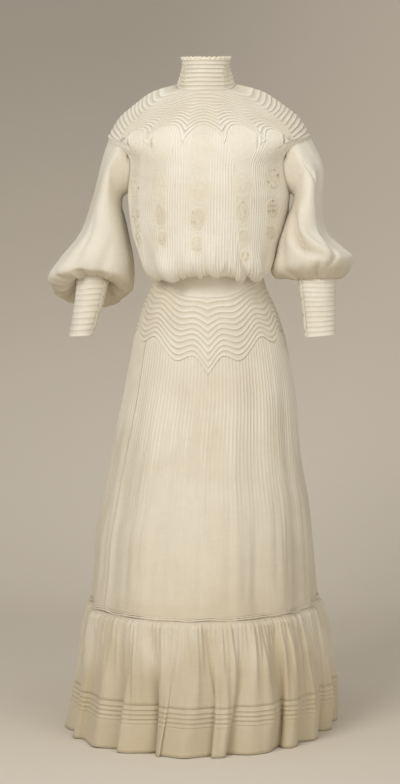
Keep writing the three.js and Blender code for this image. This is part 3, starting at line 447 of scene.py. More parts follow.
def sleeve_point(arm, angle, ring):
    """The armhole seam, running into the rings within one ring, with the long grooves moved in."""
    angle, ring = np.broadcast_arrays(np.asarray(angle, float), np.asarray(ring, float))
    turned = wrap_turn(angle)
    x, y, z = armhole_point(np.abs(turned), np.where(turned >= 0, -1, 1))
    start = np.stack([arm["side"] * (x + 0.2) + SHOULDER_LEAN, y, z], -1)
    point = mix(start, ring_point(arm["rings"], angle, ring), sind(90 * np.clip(ring, 0, 1))[..., None])
    inward = 0
    for turn, width, depth, top, foot in rows_of(arm["grooves"]):
        grown = within(ring, top, 2, foot - 2, 2)
        inward = inward + depth * grown * bump(wrap_turn(angle - turn) / width)
    point[..., 0] -= arm["side"] * inward * cosd(angle)
    point[..., 1] += inward * sind(angle)
    return point


# ---- meshes -----------------------------------------------------------------------------------------

def normals_of(points, closed, middle):
    """Unit normals of a grid, turned away from a vertical axis through its middle."""
    if closed:
        across = np.roll(points, -1, 1) - np.roll(points, 1, 1)
    else:
        across = np.gradient(points, axis=1)
    normals = np.cross(np.gradient(points, axis=0), across)
    normals /= np.linalg.norm(normals, axis=-1, keepdims=True) + 1e-12
    away = points[..., :2] - np.asarray(middle, float)
    return normals * np.sign((normals[..., :2] * away).sum())


def moved_out(points, height, closed=False, middle=(SHOULDER_LEAN, 0)):
    """A grid moved out along its normals by a height at each point."""
    return points + normals_of(points, closed, middle) * height[..., None]


def grid_faces(rows, columns, closed):
    """Corner indices of a grid's quads, in rows."""
    index = np.arange(rows * columns).reshape(rows, columns)
    if closed:
        index = np.hstack([index, index[:, :1]])
    return np.stack([index[:-1, :-1], index[1:, :-1], index[1:, 1:], index[:-1, 1:]], -1).reshape(-1, 4)


def mesh_from(name, vertices, faces, uvs=None, layers=None):
    """A mesh object from arrays: vertices in mm, quads, a uv for each corner, a value for each vertex."""
    mesh = bpy.data.meshes.new(name)
    mesh.vertices.add(len(vertices))
    mesh.vertices.foreach_set("co", (vertices * MM).astype(np.float32).ravel())
    mesh.loops.add(faces.size)
    mesh.loops.foreach_set("vertex_index", faces.astype(np.int32).ravel())
    mesh.polygons.add(len(faces))
    mesh.polygons.foreach_set("loop_start", np.arange(0, faces.size, faces.shape[1], dtype=np.int32))
    mesh.polygons.foreach_set("use_smooth", np.ones(len(faces), bool))
    if uvs is not None:
        mesh.uv_layers.new(name="cloth").data.foreach_set("uv", uvs.astype(np.float32).ravel())
    if layers is not None:
        attribute = mesh.attributes.new("layers", "FLOAT", "POINT")
        attribute.data.foreach_set("value", layers.astype(np.float32).ravel())
    mesh.update(calc_edges=True)
    mesh.validate()
    piece = bpy.data.objects.new(name, mesh)
    bpy.context.scene.collection.objects.link(piece)
    return piece


def cloth(name, points, layers=None, closed=False, keep=None, middle=(SHOULDER_LEAN, 0), wall=None):
    """A sheet of cloth on a grid of points, with a thin wall inside it.

    Its uv map is in metres of cloth across and down. keep is a mask of the quads that are cloth.
    """
    rows, columns = points.shape[:2]
    layers = np.zeros((rows, columns)) if layers is None else layers
    ring = np.concatenate([points, points[:, :1]], 1) if closed else points
    across = np.linalg.norm(np.diff(ring, axis=1), axis=-1)[rows // 2].cumsum()
    down = np.linalg.norm(np.diff(ring, axis=0), axis=-1)[:, columns // 2].cumsum()
    u, v = np.meshgrid(np.append(0, across) * MM, -np.append(0, down) * MM)
    uv = np.stack([u, v], -1)
    corners = np.stack([uv[:-1, :-1], uv[1:, :-1], uv[1:, 1:], uv[:-1, 1:]], 2).reshape(-1, 4, 2)
    faces = grid_faces(rows, columns, closed)
    flat = points.reshape(-1, 3)
    a, b, c = flat[faces[:, 0]], flat[faces[:, 1]], flat[faces[:, 2]]
    facing = np.cross(b - a, c - b)
    if (facing[:, :2] * (a[:, :2] - np.asarray(middle, float))).sum() < 0:
        faces, corners = faces[:, ::-1], corners[:, ::-1]
    if keep is not None:
        faces, corners = faces[keep.ravel()], corners[keep.ravel()]
        used = np.unique(faces)
        renumbered = np.zeros(len(flat), int)
        renumbered[used] = np.arange(len(used))
        faces, flat, layers = renumbered[faces], flat[used], layers.ravel()[used]
    piece = mesh_from(name, flat, faces, corners, layers)
    shell = piece.modifiers.new("cloth wall", "SOLIDIFY")
    shell.thickness = (wall or in_mm(bpy.context.scene.day_dress.cloth_thickness)) * MM
    shell.offset = -1
    return piece


def tubes(paths, normals, radius, flatness=1.0, sides=4, closed=False):
    """Vertices and faces of threads along paths (count, points, 3), with an oval section.

    A section is P + r (cos a S + flatness sin a N), N the given normal and S square to it and to the path.
    """
    count, points = paths.shape[:2]
    if closed:
        tangent = np.roll(paths, -1, 1) - np.roll(paths, 1, 1)
    else:
        tangent = np.gradient(paths, axis=1)
    side = np.cross(tangent, normals)
    side /= np.linalg.norm(side, axis=-1, keepdims=True) + 1e-12
    angle = np.linspace(0, 2 * np.pi, sides, endpoint=False)
    radius = np.broadcast_to(radius, (count, points))[..., None, None]
    ring = side[:, :, None] * np.cos(angle)[:, None] + flatness * normals[:, :, None] * np.sin(angle)[:, None]
    vertices = (paths[:, :, None] + radius * ring).reshape(-1, 3)
    one = grid_faces(points + closed, sides, True) % (points * sides)
    faces = (one[None] + (np.arange(count) * points * sides)[:, None, None]).reshape(-1, 4)
    return vertices, faces


def joined(parts):
    """One pair of vertices and faces out of several."""
    start, vertices, faces = 0, [], []
    for part_vertices, part_faces in parts:
        vertices.append(part_vertices)
        faces.append(part_faces + start)
        start += len(part_vertices)
    return np.vstack(vertices), np.vstack(faces)


# Height over one tuck, from the fold above it down to its own fold, and over one pintuck across.
TUCK = table("phase height", (0, 0), (0.34, 0.08), (0.62, 0.6), (0.86, 1), (0.985, 0.92))
PINTUCK = table("phase height", (0, 0), (0.5, 0), (0.66, 1), (0.84, 1))


def tuck_places(profile, count):
    """Places from 0 to 1 over a run of like tucks, with the height at each."""
    places = (np.arange(count)[:, None] + profile["phase"]) / count
    heights = np.tile(profile["height"], count)
    return np.append(places.ravel(), 1), np.append(heights, 0)


# ---- materials --------------------------------------------------------------------------------------

def new_group(name, inputs, outputs):
    """A shader node group with float, vector or colour sockets, and its two ends."""
    group = bpy.data.node_groups.new(name, "ShaderNodeTree")
    for direction, sockets in (("INPUT", inputs), ("OUTPUT", outputs)):
        for label, kind in sockets:
            group.interface.new_socket(label, in_out=direction, socket_type="NodeSocket" + kind)
    return group, group.nodes.new("NodeGroupInput"), group.nodes.new("NodeGroupOutput")


def node(tree, kind, inputs=None, **settings):
    """A node with its settings and inputs; an input is a value or a socket to link from."""
    made = tree.nodes.new(kind)
    for key, value in settings.items():
        setattr(made, key, value)
    for key, value in (inputs or {}).items():
        if isinstance(value, bpy.types.NodeSocket):
            tree.links.new(value, made.inputs[key])
        else:
            made.inputs[key].default_value = value
    return made


def blended(tree, share, first, second):
    """The colour between two others at a share."""
    return node(tree, "ShaderNodeMix", {0: share, 6: first, 7: second}, data_type="RGBA").outputs[2]


def new_material(name, roughness):
    """A material with its tree, its shader and its coordinates."""
    material = bpy.data.materials.new(name)
    material.use_nodes = True
    tree = material.node_tree
    shader = tree.nodes["Principled BSDF"]
    shader.inputs["Roughness"].default_value = roughness
    return material, tree, shader, tree.nodes.new("ShaderNodeTexCoord").outputs


SLUB_STRETCHES = ((260, 26, 60), (26, 260, 60))


def weave_group():
    """Plain weave: two crossed waves, and noise drawn out along both as thicker threads.

    Height, for a bump, is the waves' sum and a share of the noise; Slub, for colour, is the noise.
    """
    group, start, end = new_group(
        "plain weave",
        [("Vector", "Vector"), ("Threads", "Float"), ("Unevenness", "Float")],
        [("Height", "Float"), ("Slub", "Float")],
    )
    bands = []
    for axis in ("X", "Y"):
        wave = node(
            group, "ShaderNodeTexWave",
            {"Vector": start.outputs["Vector"], "Scale": start.outputs["Threads"], "Distortion": 0.6,
             "Detail Scale": 0.4},
            bands_direction=axis,
        )
        bands.append(wave.outputs["Fac"])
    woven = node(group, "ShaderNodeMath", {0: bands[0], 1: bands[1]}, operation="ADD")
    slubs = []
    for stretch in SLUB_STRETCHES:
        mapping = node(group, "ShaderNodeMapping", {"Vector": start.outputs["Vector"], "Scale": stretch})
        noise = node(group, "ShaderNodeTexNoise", {"Vector": mapping.outputs[0], "Scale": 1, "Detail": 2})
        slubs.append(noise.outputs["Fac"])
    slub = node(group, "ShaderNodeMath", {0: slubs[0], 1: slubs[1]}, operation="ADD")
    uneven = node(
        group, "ShaderNodeMath", {0: slub.outputs[0], 1: start.outputs["Unevenness"]}, operation="MULTIPLY"
    )
    height = node(group, "ShaderNodeMath", {0: woven.outputs[0], 1: uneven.outputs[0]}, operation="ADD")
    group.links.new(height.outputs[0], end.inputs["Height"])
    group.links.new(slub.outputs[0], end.inputs["Slub"])
    return group


# The aged colour is laid on in soft clouds of yellowing, and as painted shade that deepens from a height down
# to the hem.
HEM_SHADE_TOP = -0.85
YELLOWED_CLOUDS, PAINTED_HEM_SHADE = 0.45, 0.95


def tone_group():
    """Colour of sheer cloth: deeper where one layer lies, paler where folds lie on each other.

    It yellows in soft clouds, darkens towards the hem as painted shade, and its thicker threads are paler.
    """
    group, start, end = new_group(
        "layered tone",
        [("Vector", "Vector"), ("Layers", "Float"), ("Slub", "Float"),
         ("Single", "Color"), ("Folded", "Color"), ("Aged", "Color")],
        [("Color", "Color")],
    )
    folded = blended(group, *(start.outputs[label] for label in ("Layers", "Single", "Folded")))
    cloud = node(group, "ShaderNodeTexNoise", {"Vector": start.outputs["Vector"], "Scale": 7, "Detail": 3})
    ramp = node(
        group, "ShaderNodeMapRange",
        {"Value": cloud.outputs["Fac"], "From Min": 0.4, "From Max": 0.75, "To Min": 0,
         "To Max": YELLOWED_CLOUDS},
    )
    # Painted shade: the aged colour deepens from a height down to the hem.
    place = node(group, "ShaderNodeSeparateXYZ", {"Vector": start.outputs["Vector"]})
    hem = node(
        group, "ShaderNodeMapRange",
        {"Value": place.outputs["Z"], "From Min": HEM_SHADE_TOP, "From Max": HEM_Z * MM, "To Min": 0,
         "To Max": PAINTED_HEM_SHADE},
    )
    share = node(
        group, "ShaderNodeMath", {0: ramp.outputs[0], 1: hem.outputs[0]}, operation="ADD", use_clamp=True
    )
    aged_and_hem_shade = blended(group, share.outputs[0], folded, start.outputs["Aged"])
    thread = node(
        group, "ShaderNodeMapRange",
        {"Value": start.outputs["Slub"], "From Min": 0.7, "From Max": 1.3, "To Min": 0.965, "To Max": 1.02},
    )
    final = node(group, "ShaderNodeVectorMath", {0: aged_and_hem_shade, "Scale": thread.outputs[0]}, operation="SCALE")
    group.links.new(final.outputs[0], end.inputs["Color"])
    return group


LAWN_THREADS, LACE_THREADS = 700, 900
LAWN_RELIEF, LACE_RELIEF = 0.25, 0.3
RELIEF_DISTANCE = 0.0003
THREAD_UNEVENNESS = 0.8
CLOTH_ROUGHNESS, BUTTON_ROUGHNESS = 0.82, 0.35


def cloth_material(name, single, folded, aged_and_hem_shade, threads, relief):
    """A woven cotton finish whose colour follows the number of layers."""
    material, tree, shader, coordinates = new_material(name, CLOTH_ROUGHNESS)
    weave = node(tree, "ShaderNodeGroup", node_tree=bpy.data.node_groups.get("plain weave") or weave_group())
    tone = node(tree, "ShaderNodeGroup", node_tree=bpy.data.node_groups.get("layered tone") or tone_group())
    layers = node(tree, "ShaderNodeAttribute", attribute_name="layers")
    tree.links.new(coordinates["UV"], weave.inputs["Vector"])
    weave.inputs["Threads"].default_value = threads
    weave.inputs["Unevenness"].default_value = THREAD_UNEVENNESS
    tree.links.new(coordinates["Object"], tone.inputs["Vector"])
    tree.links.new(layers.outputs["Fac"], tone.inputs["Layers"])
    tree.links.new(weave.outputs["Slub"], tone.inputs["Slub"])
    for label, shade in (("Single", single), ("Folded", folded), ("Aged", aged_and_hem_shade)):
        tone.inputs[label].default_value = (*shade, 1)
    tree.links.new(tone.outputs["Color"], shader.inputs["Base Color"])
    raised = node(
        tree, "ShaderNodeBump",
        {"Height": weave.outputs["Height"], "Strength": relief, "Distance": RELIEF_DISTANCE},
    )
    tree.links.new(raised.outputs["Normal"], shader.inputs["Normal"])
    shader.inputs["Specular IOR Level"].default_value = 0.25
    shader.inputs["Sheen Weight"].default_value = 0.2
    shader.inputs["Sheen Roughness"].default_value = 0.5
    return material


def shell_material(name, base, mottling=0.06, scale=12.0):
    """A satin shell finish with a faint mottling on object coordinates."""
    material, tree, shader, coordinates = new_material(name, BUTTON_ROUGHNESS)
    noise = node(tree, "ShaderNodeTexNoise", {"Vector": coordinates["Object"], "Scale": scale, "Detail": 4})
    deeper, paler = ((*(c * (1 + change) for c in base), 1) for change in (-mottling, mottling))
    tree.links.new(blended(tree, noise.outputs["Fac"], deeper, paler), shader.inputs["Base Color"])
    return material


def finish_for(slot):
    """The material of a slot, made once."""
    name = slot.replace("_", " ") + " finish"
    if name in bpy.data.materials:
        return bpy.data.materials[name]
    settings = bpy.context.scene.day_dress
    if slot == "button":
        return shell_material(name, settings.button_colour)
    if slot == "lace":
        lace = settings.lace_colour
        return cloth_material(name, lace, lace, settings.aged_and_hem_shade_colour, LACE_THREADS, LACE_RELIEF)
    single = settings.lawn_colour if slot == "lawn" else settings.skirt_colour
    return cloth_material(
        name, single, settings.folded_colour, settings.aged_and_hem_shade_colour, LAWN_THREADS, LAWN_RELIEF
    )


def put_in(piece, nodes, slot):
    """Gives a piece its finish and its body, and hides the part's nodes that it stands for."""
    piece.data.materials.append(finish_for(slot))
    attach(piece, "root")
    if nodes:
        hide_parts(*nodes)
    return piece


# ---- pieces -----------------------------------------------------------------------------------------

COLLAR_ROWS = table(
    "rise half front back side_z front_z back_z",
    (0, 63, -59, 51, 31.5, 16.5, 38.5), (1, 57, -56, 48, 49, 38, 56), (2, 52, -54, 46, 68, 60, 75),
    (3, 52, -54, 46, 83, 80, 88),
)
COLLAR_TOP = 3
COLLAR_LAP = 0.4
COLLAR_ROUNDING = 1.8
COLLAR_TUCKS = 7
COLLAR_COLUMNS = 161
COLLAR_TUCK_SHARE = 0.9
COLLAR_FOOT_TUCKED_IN = 2
COLLAR_LAYERS = 0.3
FRILL_COLUMNS, FRILL_ROWS = 451, 9
FRILL_WAVES, FRILL_TEETH, FRILL_HEIGHT = 31, 46, 5.4
FRILL_WALL = 0.5


def collar_point(turn, rise):
    """An oval section, x = half sin t and y = front or back times |cos t|, rising to the back."""
    turn, rise = np.broadcast_arrays(np.asarray(turn, float), np.asarray(rise, float))
    ahead = cosd(turn) > 0
    column = {name: along(COLLAR_ROWS, "rise", name, rise) for name in COLLAR_ROWS if name != "rise"}
    share = (1 - np.abs(cosd(turn))) ** COLLAR_ROUNDING
    return np.stack([
        column["half"] * sind(turn),
        np.where(ahead, column["front"], column["back"]) * np.abs(cosd(turn)),
        mix(np.where(ahead, column["front_z"], column["back_z"]), column["side_z"], share),
    ], -1)


def collar_turns(columns):
    """Turns round the collar from one side of its closing to the other."""
    return np.linspace(COLLAR_LAP - 180, 180 - COLLAR_LAP, columns)


def make_collar(settings):
    """The collar's band: rows of tucks moved out, uneven, and wavering by tenths of a millimetre."""
    places, heights = tuck_places(TUCK, COLLAR_TUCKS)
    turn, place = np.meshgrid(collar_turns(COLLAR_COLUMNS), places)
    rise = COLLAR_TOP * (1 - place)
    layers = unevenly(heights[:, None], 0.15, turn / 14, rise * 2, 3)
    rise = rise + sway(0.035, turn / 30, rise, 5, place)
    height = in_mm(settings.tuck_height) * COLLAR_TUCK_SHARE * layers + 0.4 * wavering(turn / 18, rise, 6)
    points = moved_out(collar_point(turn, rise), height, middle=(0, 0))
    points[-1, :, 2] -= COLLAR_FOOT_TUCKED_IN
    piece = cloth("collar_band", points, mix(COLLAR_LAYERS, 1, layers), middle=(0, 0))
    put_in(piece, ["collar"], "lawn")


def make_collar_frill(settings):
    """The frill: a strip that leans out in uneven waves, its upper edge in small round teeth."""
    turn, up = np.meshgrid(collar_turns(FRILL_COLUMNS), np.linspace(1, 0, FRILL_ROWS))
    wave = np.sin(np.radians(turn * FRILL_WAVES) + 0.9 * np.sin(np.radians(turn * 5)))
    wave = wave + 0.35 * wavering(turn / 7, up, 11)
    tooth = np.abs(np.sin(np.radians(turn * FRILL_TEETH)))
    rim = np.stack([sind(turn), -cosd(turn), 0 * turn], -1)
    lean = 0.8 + up * (0.6 + 1.9 * wave) + 0.4 * np.sin(np.pi * up)
    point = collar_point(turn, COLLAR_TOP) + rim * lean[..., None]
    point[..., 2] += 0.3 + up * (FRILL_HEIGHT + 2.0 * tooth + 0.9 * wave)
    piece = cloth("collar_frill_lace", point, middle=(0, 0), wall=FRILL_WALL)
    put_in(piece, ["collar_frill"], "lace")


def surface_with_normals(point, across, down, reach, middle):
    """Points of a surface with its outward unit normals, from small chords."""
    step_across, step_down = reach
    here = point(across, down)
    sideways = point(across + step_across, down) - point(across - step_across, down)
    downwards = point(across, down + step_down) - point(across, down - step_down)
    normals = np.cross(downwards, sideways)
    normals /= np.linalg.norm(normals, axis=-1, keepdims=True) + 1e-12
    return here, normals * np.sign((normals[..., :2] * (here[..., :2] - np.asarray(middle, float))).sum())


NET_TURNS = {"left": (40, 74), "right": (-74, -40)}
NET_LIFT = 1.25
NET_THREADS, NET_LEAN = 15, 1.6
NET_THREAD, NET_CORD = 0.32, 0.6
NET_FOOT, NET_TOP = 0.25, 2.6


def make_collar_lace(settings):
    """A triangle of crossed threads with a corded edge at each front side of the collar.

    Each thread is a straight line of share over rise, leaning one way or the other and held to the edge.
    """
    run = np.linspace(0, 1, 25)
    for name, (from_turn, to_turn) in NET_TURNS.items():
        middle, half = (from_turn + to_turn) / 2, (to_turn - from_turn) / 2

        def placed(share, rise):
            """Points and normals a little over the collar, the net narrowing as it rises."""
            turn = middle + share * half * (1 - 0.25 * rise)
            points, normals = surface_with_normals(collar_point, turn, rise, (1, 0.05), (0, 0))
            return points + NET_LIFT * normals, normals

        parts = []
        for lean in (-NET_LEAN, NET_LEAN):
            share = np.linspace(-2.6, 2.6, NET_THREADS)[:, None] + lean * (run - 0.5)
            rise = mix(0.28, 2.57, run) + 0 * share
            parts.append(tubes(*placed(np.clip(share, -1, 1), rise), NET_THREAD))
        shares = np.array([-1, 1, 1, -1, -1.0])[:, None]
        rises = np.array([NET_FOOT, NET_FOOT, NET_TOP, NET_TOP, NET_FOOT])[:, None]
        edge = placed(mix(shares[:-1], shares[1:], run), mix(rises[:-1], rises[1:], run))
        parts.append(tubes(*edge, NET_CORD, sides=5))
        piece = mesh_from("collar_lace_" + name + "_net", *joined(parts))
        put_in(piece, ["collar_lace_" + name], "lace")


YOKE_TUCKS = 14
TUCKS_FROM_NECK_SIDES = 3
SHOULDER_CROWDING = 0.45
YOKE_WAVER = 0.8
YOKE_EDGE_TURNED_IN = 0.7
YOKE_LAYERS = 0.15
# Name, face, first and last share with the count of columns, and width of the cut in metres.
YOKE_PANELS = (
    ("yoke_front", -1, (-1, 1, 241), 0.4), ("yoke_back_left", 1, (0.002, 1, 97), 0.19),
    ("yoke_back_right", 1, (-1, -0.002, 97), 0.19),
)


def tuck_line_places(share, place):
    """Places of the tuck lines: evenly below the neck in front, and moved down towards the shoulders.

    So the lines run level over the shoulders, and the first few start from the sides of the neck.
    """
    above = TUCKS_FROM_NECK_SIDES / YOKE_TUCKS
    in_front = (place - above) / (1 - above)
    return mix(in_front, place ** (1 - SHOULDER_CROWDING), smooth((np.abs(share) - 0.1) / 0.8))


def make_yoke(settings):
    """The yoke's panels: tucks along its lines, bolder towards the foot and pressed flat at the shoulders."""
    places, heights = tuck_places(TUCK, YOKE_TUCKS)
    places, heights = np.append(places, 1), np.append(heights, -YOKE_EDGE_TURNED_IN)
    for name, face, columns, width in YOKE_PANELS:
        share, place = np.meshgrid(np.linspace(*columns), places)
        line = tuck_line_places(share, place)
        waver = sway(YOKE_WAVER, share * 7, place * 9, 21, place)
        down = np.where(line > 0, yoke_line(share, np.maximum(line, 0)) + waver, 0)
        down = np.maximum(down, 0.3 + 0.4 * place)
        down[-1] += 0.5
        layers = unevenly(heights[:, None], 0.14, share * 11, down / 16, 22) * smooth(down / 4)
        pressed = mix(0.35, 1, smooth((1 - np.abs(share)) / 0.03))
        bold = mix(0.75, 1.5, smooth((line - 0.4) / 0.35))
        soft = (0.5 + 0.5 * wavering(share * 4, down / 40, 23)) * (1 - smooth((place - 0.96) / 0.04))
        height = in_mm(settings.tuck_height) * layers * pressed * bold + soft
        points = moved_out(body_point(face, share, down), height)
        piece = cloth(name + "_tucks", points, mix(YOKE_LAYERS, 1, layers))
        put_in(piece, [name], "lawn")


# The lace ovals: column, row from the top, x and z of the middle, width and height.
MEDALLIONS = [
    ("centre", 1, 1, -116, 62, 66), ("centre", 2, 1, -197, 46, 64), ("centre", 3, -2, -262, 37, 52),
    ("centre", 4, -4, -314, 27, 40),
    ("right", 1, -87, -101, 52, 72), ("right", 2, -90, -190, 38, 58), ("right", 3, -85, -253, 27, 50),
    ("right", 4, -80, -302, 20, 34),
    ("left", 1, 86, -101, 56, 70), ("left", 2, 91, -187, 45, 54), ("left", 3, 91, -247, 33, 52),
    ("left", 4, 93, -299, 22, 36), ("left", 5, 95, -337, 15, 23),
    ("right_side", 1, -141, -112, 26, 40), ("right_side", 2, -146, -190, 30, 52),
    ("right_side", 3, -143, -254, 24, 46), ("right_side", 4, -137, -302, 18, 32),
    ("left_side", 1, 154, -100, 34, 56), ("left_side", 2, 152, -178, 30, 52),
    ("left_side", 3, 150, -240, 24, 44), ("left_side", 4, 146, -290, 18, 34),
]
# Share of the cloth that is open under each column's lower ovals.
OPENWORK = {"right_side": 0.24, "left_side": 0.24, "centre": 0.09, "right": 0.03, "left": 0.09}
LACE_EDGE = 0.82
# How far each row of ovals stands off the cloth.
LACE_LIFTS = (-0.25, -0.05, 0.15, 0.15, 0.15)
BODICE_LAYERS = 0.6
FRONT_PINTUCKS, BACK_PINTUCKS = 90, 30
# Rows of the grid above and below the place where the cloth has settled.
FRONT_ROWS, BACK_ROWS = (24, 54), (16, 40)
PINTUCK_FADE = 6
# Distances down at which the pintucks end and the pouch turns in.
PINTUCKS_END, POUCH_TURNS_IN = 425, 440
UNDER_SCALLOPS = 0.3


def medallion_reach(x, z):
    """Distance from the nearest lace oval's middle, as a share of its half size, and that oval's openwork."""
    reach, openwork = np.full(np.shape(x), 9.0), np.zeros(np.shape(x))
    for column, row, middle_x, middle_z, width, height in MEDALLIONS:
        here = np.hypot((x - middle_x) / (width / 2), (z - middle_z) / (height / 2))
        pierced = row > (1 if "side" in column else 2)
        openwork = np.where(here < reach, OPENWORK[column] * pierced, openwork)
        reach = np.minimum(reach, here)
    return reach, openwork


def lace_column_mask(x, z):
    """1 in the plain strips that join the ovals of a column, 0 elsewhere."""
    mask = np.zeros(np.shape(x))
    for column in OPENWORK:
        upwards = np.array([oval[2:5] for oval in MEDALLIONS if oval[0] == column][::-1], float)
        middles, heights, widths = upwards.T
        middle, width = np.interp(z, heights, middles), np.interp(z, heights, widths)
        above_last = smooth((z - heights[0] + 20) / 12)
        mask = np.maximum(mask, above_last * smooth((0.34 * width - np.abs(x - middle)) / 4 + 0.5))
    return mask


PANEL_STEPS, PANEL_STEP = 20, 0.3


def panel_places(columns, rows_above, rows_below, face):
    """Share and distance down of a bodice panel's grid, from under the scallops to the waist seam.

    The scallop over a column depends on the column's share there, so both are closed in on step by step.
    """
    level = np.linspace(0, 1, rows_above, endpoint=False)[:, None]
    share = columns + 0 * level
    down = mix(yoke_edge(share) - YOKE_LAP, SETTLED_DOWN, level)
    for _ in range(PANEL_STEPS):
        down = mix(down, mix(yoke_edge(share) - YOKE_LAP, SETTLED_DOWN, level), PANEL_STEP)
        share = hanging_share(columns + 0 * level, down, face)
    lower = np.linspace(SETTLED_DOWN, WAIST_DOWN, rows_below)[:, None] + 0 * columns
    lower_share = hanging_share(columns + 0 * lower, lower, face)
    return np.vstack([share, lower_share]), np.vstack([down, lower])


WAIST_GATHERS = 58
POUCH_FOLDS = table(
    "share width out lean",
    (-0.62, 0.1, 10, 0.1), (-0.38, 0.09, 12, 0.12), (-0.16, 0.03, 4, -0.1), (-0.07, 0.022, 4, 0.12),
    (0.03, 0.025, -4, 0.1), (0.2, 0.03, 3, -0.12), (0.33, 0.05, 9, 0.22), (0.42, 0.03, -6, 0.24),
    (0.54, 0.1, 14, 0.2), (0.78, 0.09, 9, -0.1),
)


def waist_gathers(share, down, seed):
    """Height of the small gathers above the waist seam, deepest under the pouch."""
    draw = np.random.default_rng(seed)
    middles = np.linspace(-1, 1, WAIST_GATHERS) + draw.uniform(-0.012, 0.012, WAIST_GATHERS)
    depths = draw.uniform(0.8, 3.4, WAIST_GATHERS)
    tops = draw.uniform(330, 400, WAIST_GATHERS)
    widths = draw.uniform(0.009, 0.017, WAIST_GATHERS)
    total = np.zeros(np.shape(share))
    for middle, depth, top, width in zip(middles, depths, tops, widths):
        total += depth * bump((share - middle) / width) * smooth((down - top) / 60)
    return total


def softness(share, down, seed):
    """Soft unevenness of the bodice's cloth between the yoke and the pouch's foot."""
    return 1.6 * wavering(share * 5, down / 95, seed) * within(down, 170, 120, POUCH_TURNS_IN, 45)


def front_relief(share, down):
    """Soft unevenness, gathers and the pouch's drooping folds of the bodice front."""
    droop = sum(
        out * bump((share - middle - lean * (down - 400) / 100) / width)
        for middle, width, out, lean in rows_of(POUCH_FOLDS)
    )
    droop = droop * within(down, 350, 60, POUCH_TURNS_IN, 40)
    edge = smooth((1 - np.abs(share)) / 0.04)
    return (softness(share, down, 32) + droop + waist_gathers(share, down, 33)) * edge


def pintucked(heights, share, down, edge):
    """Heights of the pintucks where they are stitched, from under the scallops to the pouch."""
    stitched = smooth((down - yoke_edge(share)) / PINTUCK_FADE) * (1 - smooth((down - PINTUCKS_END) / 30))
    return heights * stitched * edge


def tucked_under(share, down):
    """How far the bodice's cloth lies in under the scallops' edge."""
    return UNDER_SCALLOPS * (1 - smooth((down - yoke_edge(share)) / 4))


def make_bodice_front(settings):
    """The front: pintucks between the plain lace columns, folds and gathers, pierced under lower ovals."""
    places, heights = tuck_places(PINTUCK, FRONT_PINTUCKS)
    columns = places * 2 - 1
    share, down = panel_places(columns, *FRONT_ROWS, -1)
    points = body_point(-1, share, down)
    reach, openwork = medallion_reach(points[..., 0], points[..., 2])
    plain = np.maximum(lace_column_mask(points[..., 0], points[..., 2]), smooth((1.12 - reach) / 0.14))
    layers = pintucked(heights * (1 - plain), share, down, smooth((1 - np.abs(columns)) / 0.02))
    uneven = 0.75 + 0.25 * wavering(share * 9, down / 50, 31)
    height = in_mm(settings.pintuck_height) * layers * uneven + front_relief(share, down)
    points = moved_out(points, height - tucked_under(share, down))
    pierced = np.random.default_rng(34).uniform(size=reach[1:, 1:].shape) < openwork[1:, 1:]
    pierced[::2] = False
    keep = (reach[1:, 1:] > LACE_EDGE) | ~pierced
    piece = cloth("bodice_front_pintucks", points, mix(BODICE_LAYERS, 1, layers), keep=keep)
    put_in(piece, ["bodice_front"], "lawn")


def make_bodice_backs(settings):
    """The two backs: pintucks all over, with the front's softness and gathers."""
    for name, low, high in (("left", 0.002, 1), ("right", -1, -0.002)):
        places, heights = tuck_places(PINTUCK, BACK_PINTUCKS)
        columns = mix(low, high, places)
        share, down = panel_places(columns, *BACK_ROWS, 1)
        edge = smooth((1 - np.abs(columns)) / 0.02) * smooth(np.abs(columns) / 0.02)
        layers = pintucked(heights, share, down, edge)
        relief = (softness(share, down, 35) + waist_gathers(share, down, 36)) * edge
        height = in_mm(settings.pintuck_height) * layers + relief - tucked_under(share, down)
        points = moved_out(body_point(1, share, down), height)
        piece = cloth("bodice_back_" + name + "_pintucks", points, mix(BODICE_LAYERS, 1, layers))
        put_in(piece, ["bodice_back_" + name], "lawn")


PLACKET_HALF_SHARE, PLACKET_LENGTH = 0.05, 385
PLACKET_STITCHING = 0.041


def make_back_placket(settings):
    """A narrow lapped strip down the centre back, a little proud of the panels' tucks."""
    half = PLACKET_HALF_SHARE
    share, down = np.meshgrid(np.linspace(-half, half, 13), np.linspace(0.3, PLACKET_LENGTH, 130))
    edge = smooth((half - np.abs(share)) / 0.006)
    row = bump((np.abs(share) - PLACKET_STITCHING) / 0.003)
    height = 1.0 + 1.5 * edge - 0.35 * row + 0.25 * wavering(share * 30, down / 18, 41)
    piece = cloth("back_placket_strip", moved_out(body_point(1, share, down), height), edge * 0.8)
    put_in(piece, ["back_placket"], "lawn")


FRONT_STEPS = 60
SHARE_STEP, DOWN_STEP, LAST_SHARE = 300, 0.7, 0.985


def place_on_front(x, z):
    """Share and distance down at which the bodice front passes x and z, closed in on by repeated steps."""
    share = x / ARMHOLE_TOP_X
    down = np.full(np.shape(x), float(TIP_DOWN))
    for _ in range(FRONT_STEPS):
        point = body_point(-1, share, down)
        share = np.clip(share + (x - point[..., 0]) / SHARE_STEP, -LAST_SHARE, LAST_SHARE)
        down = down + (point[..., 2] - z) * DOWN_STEP
    return share, down


WHEEL_POINTS = 40
WHEEL_RINGS = (0.84, 0.52)
WHEEL_HUB = 0.09
WHEEL_CORD, WHEEL_CORD_RING = 0.95, 0.98
LEAF_FROM, LEAF_TO, LEAF_WIDTH, LEAF_FLATNESS = 0.12, 0.8, 0.42, 0.22
SPOKE_FROM = 0.1
LOOP_RING, LOOP_HALF = 0.68, 0.13


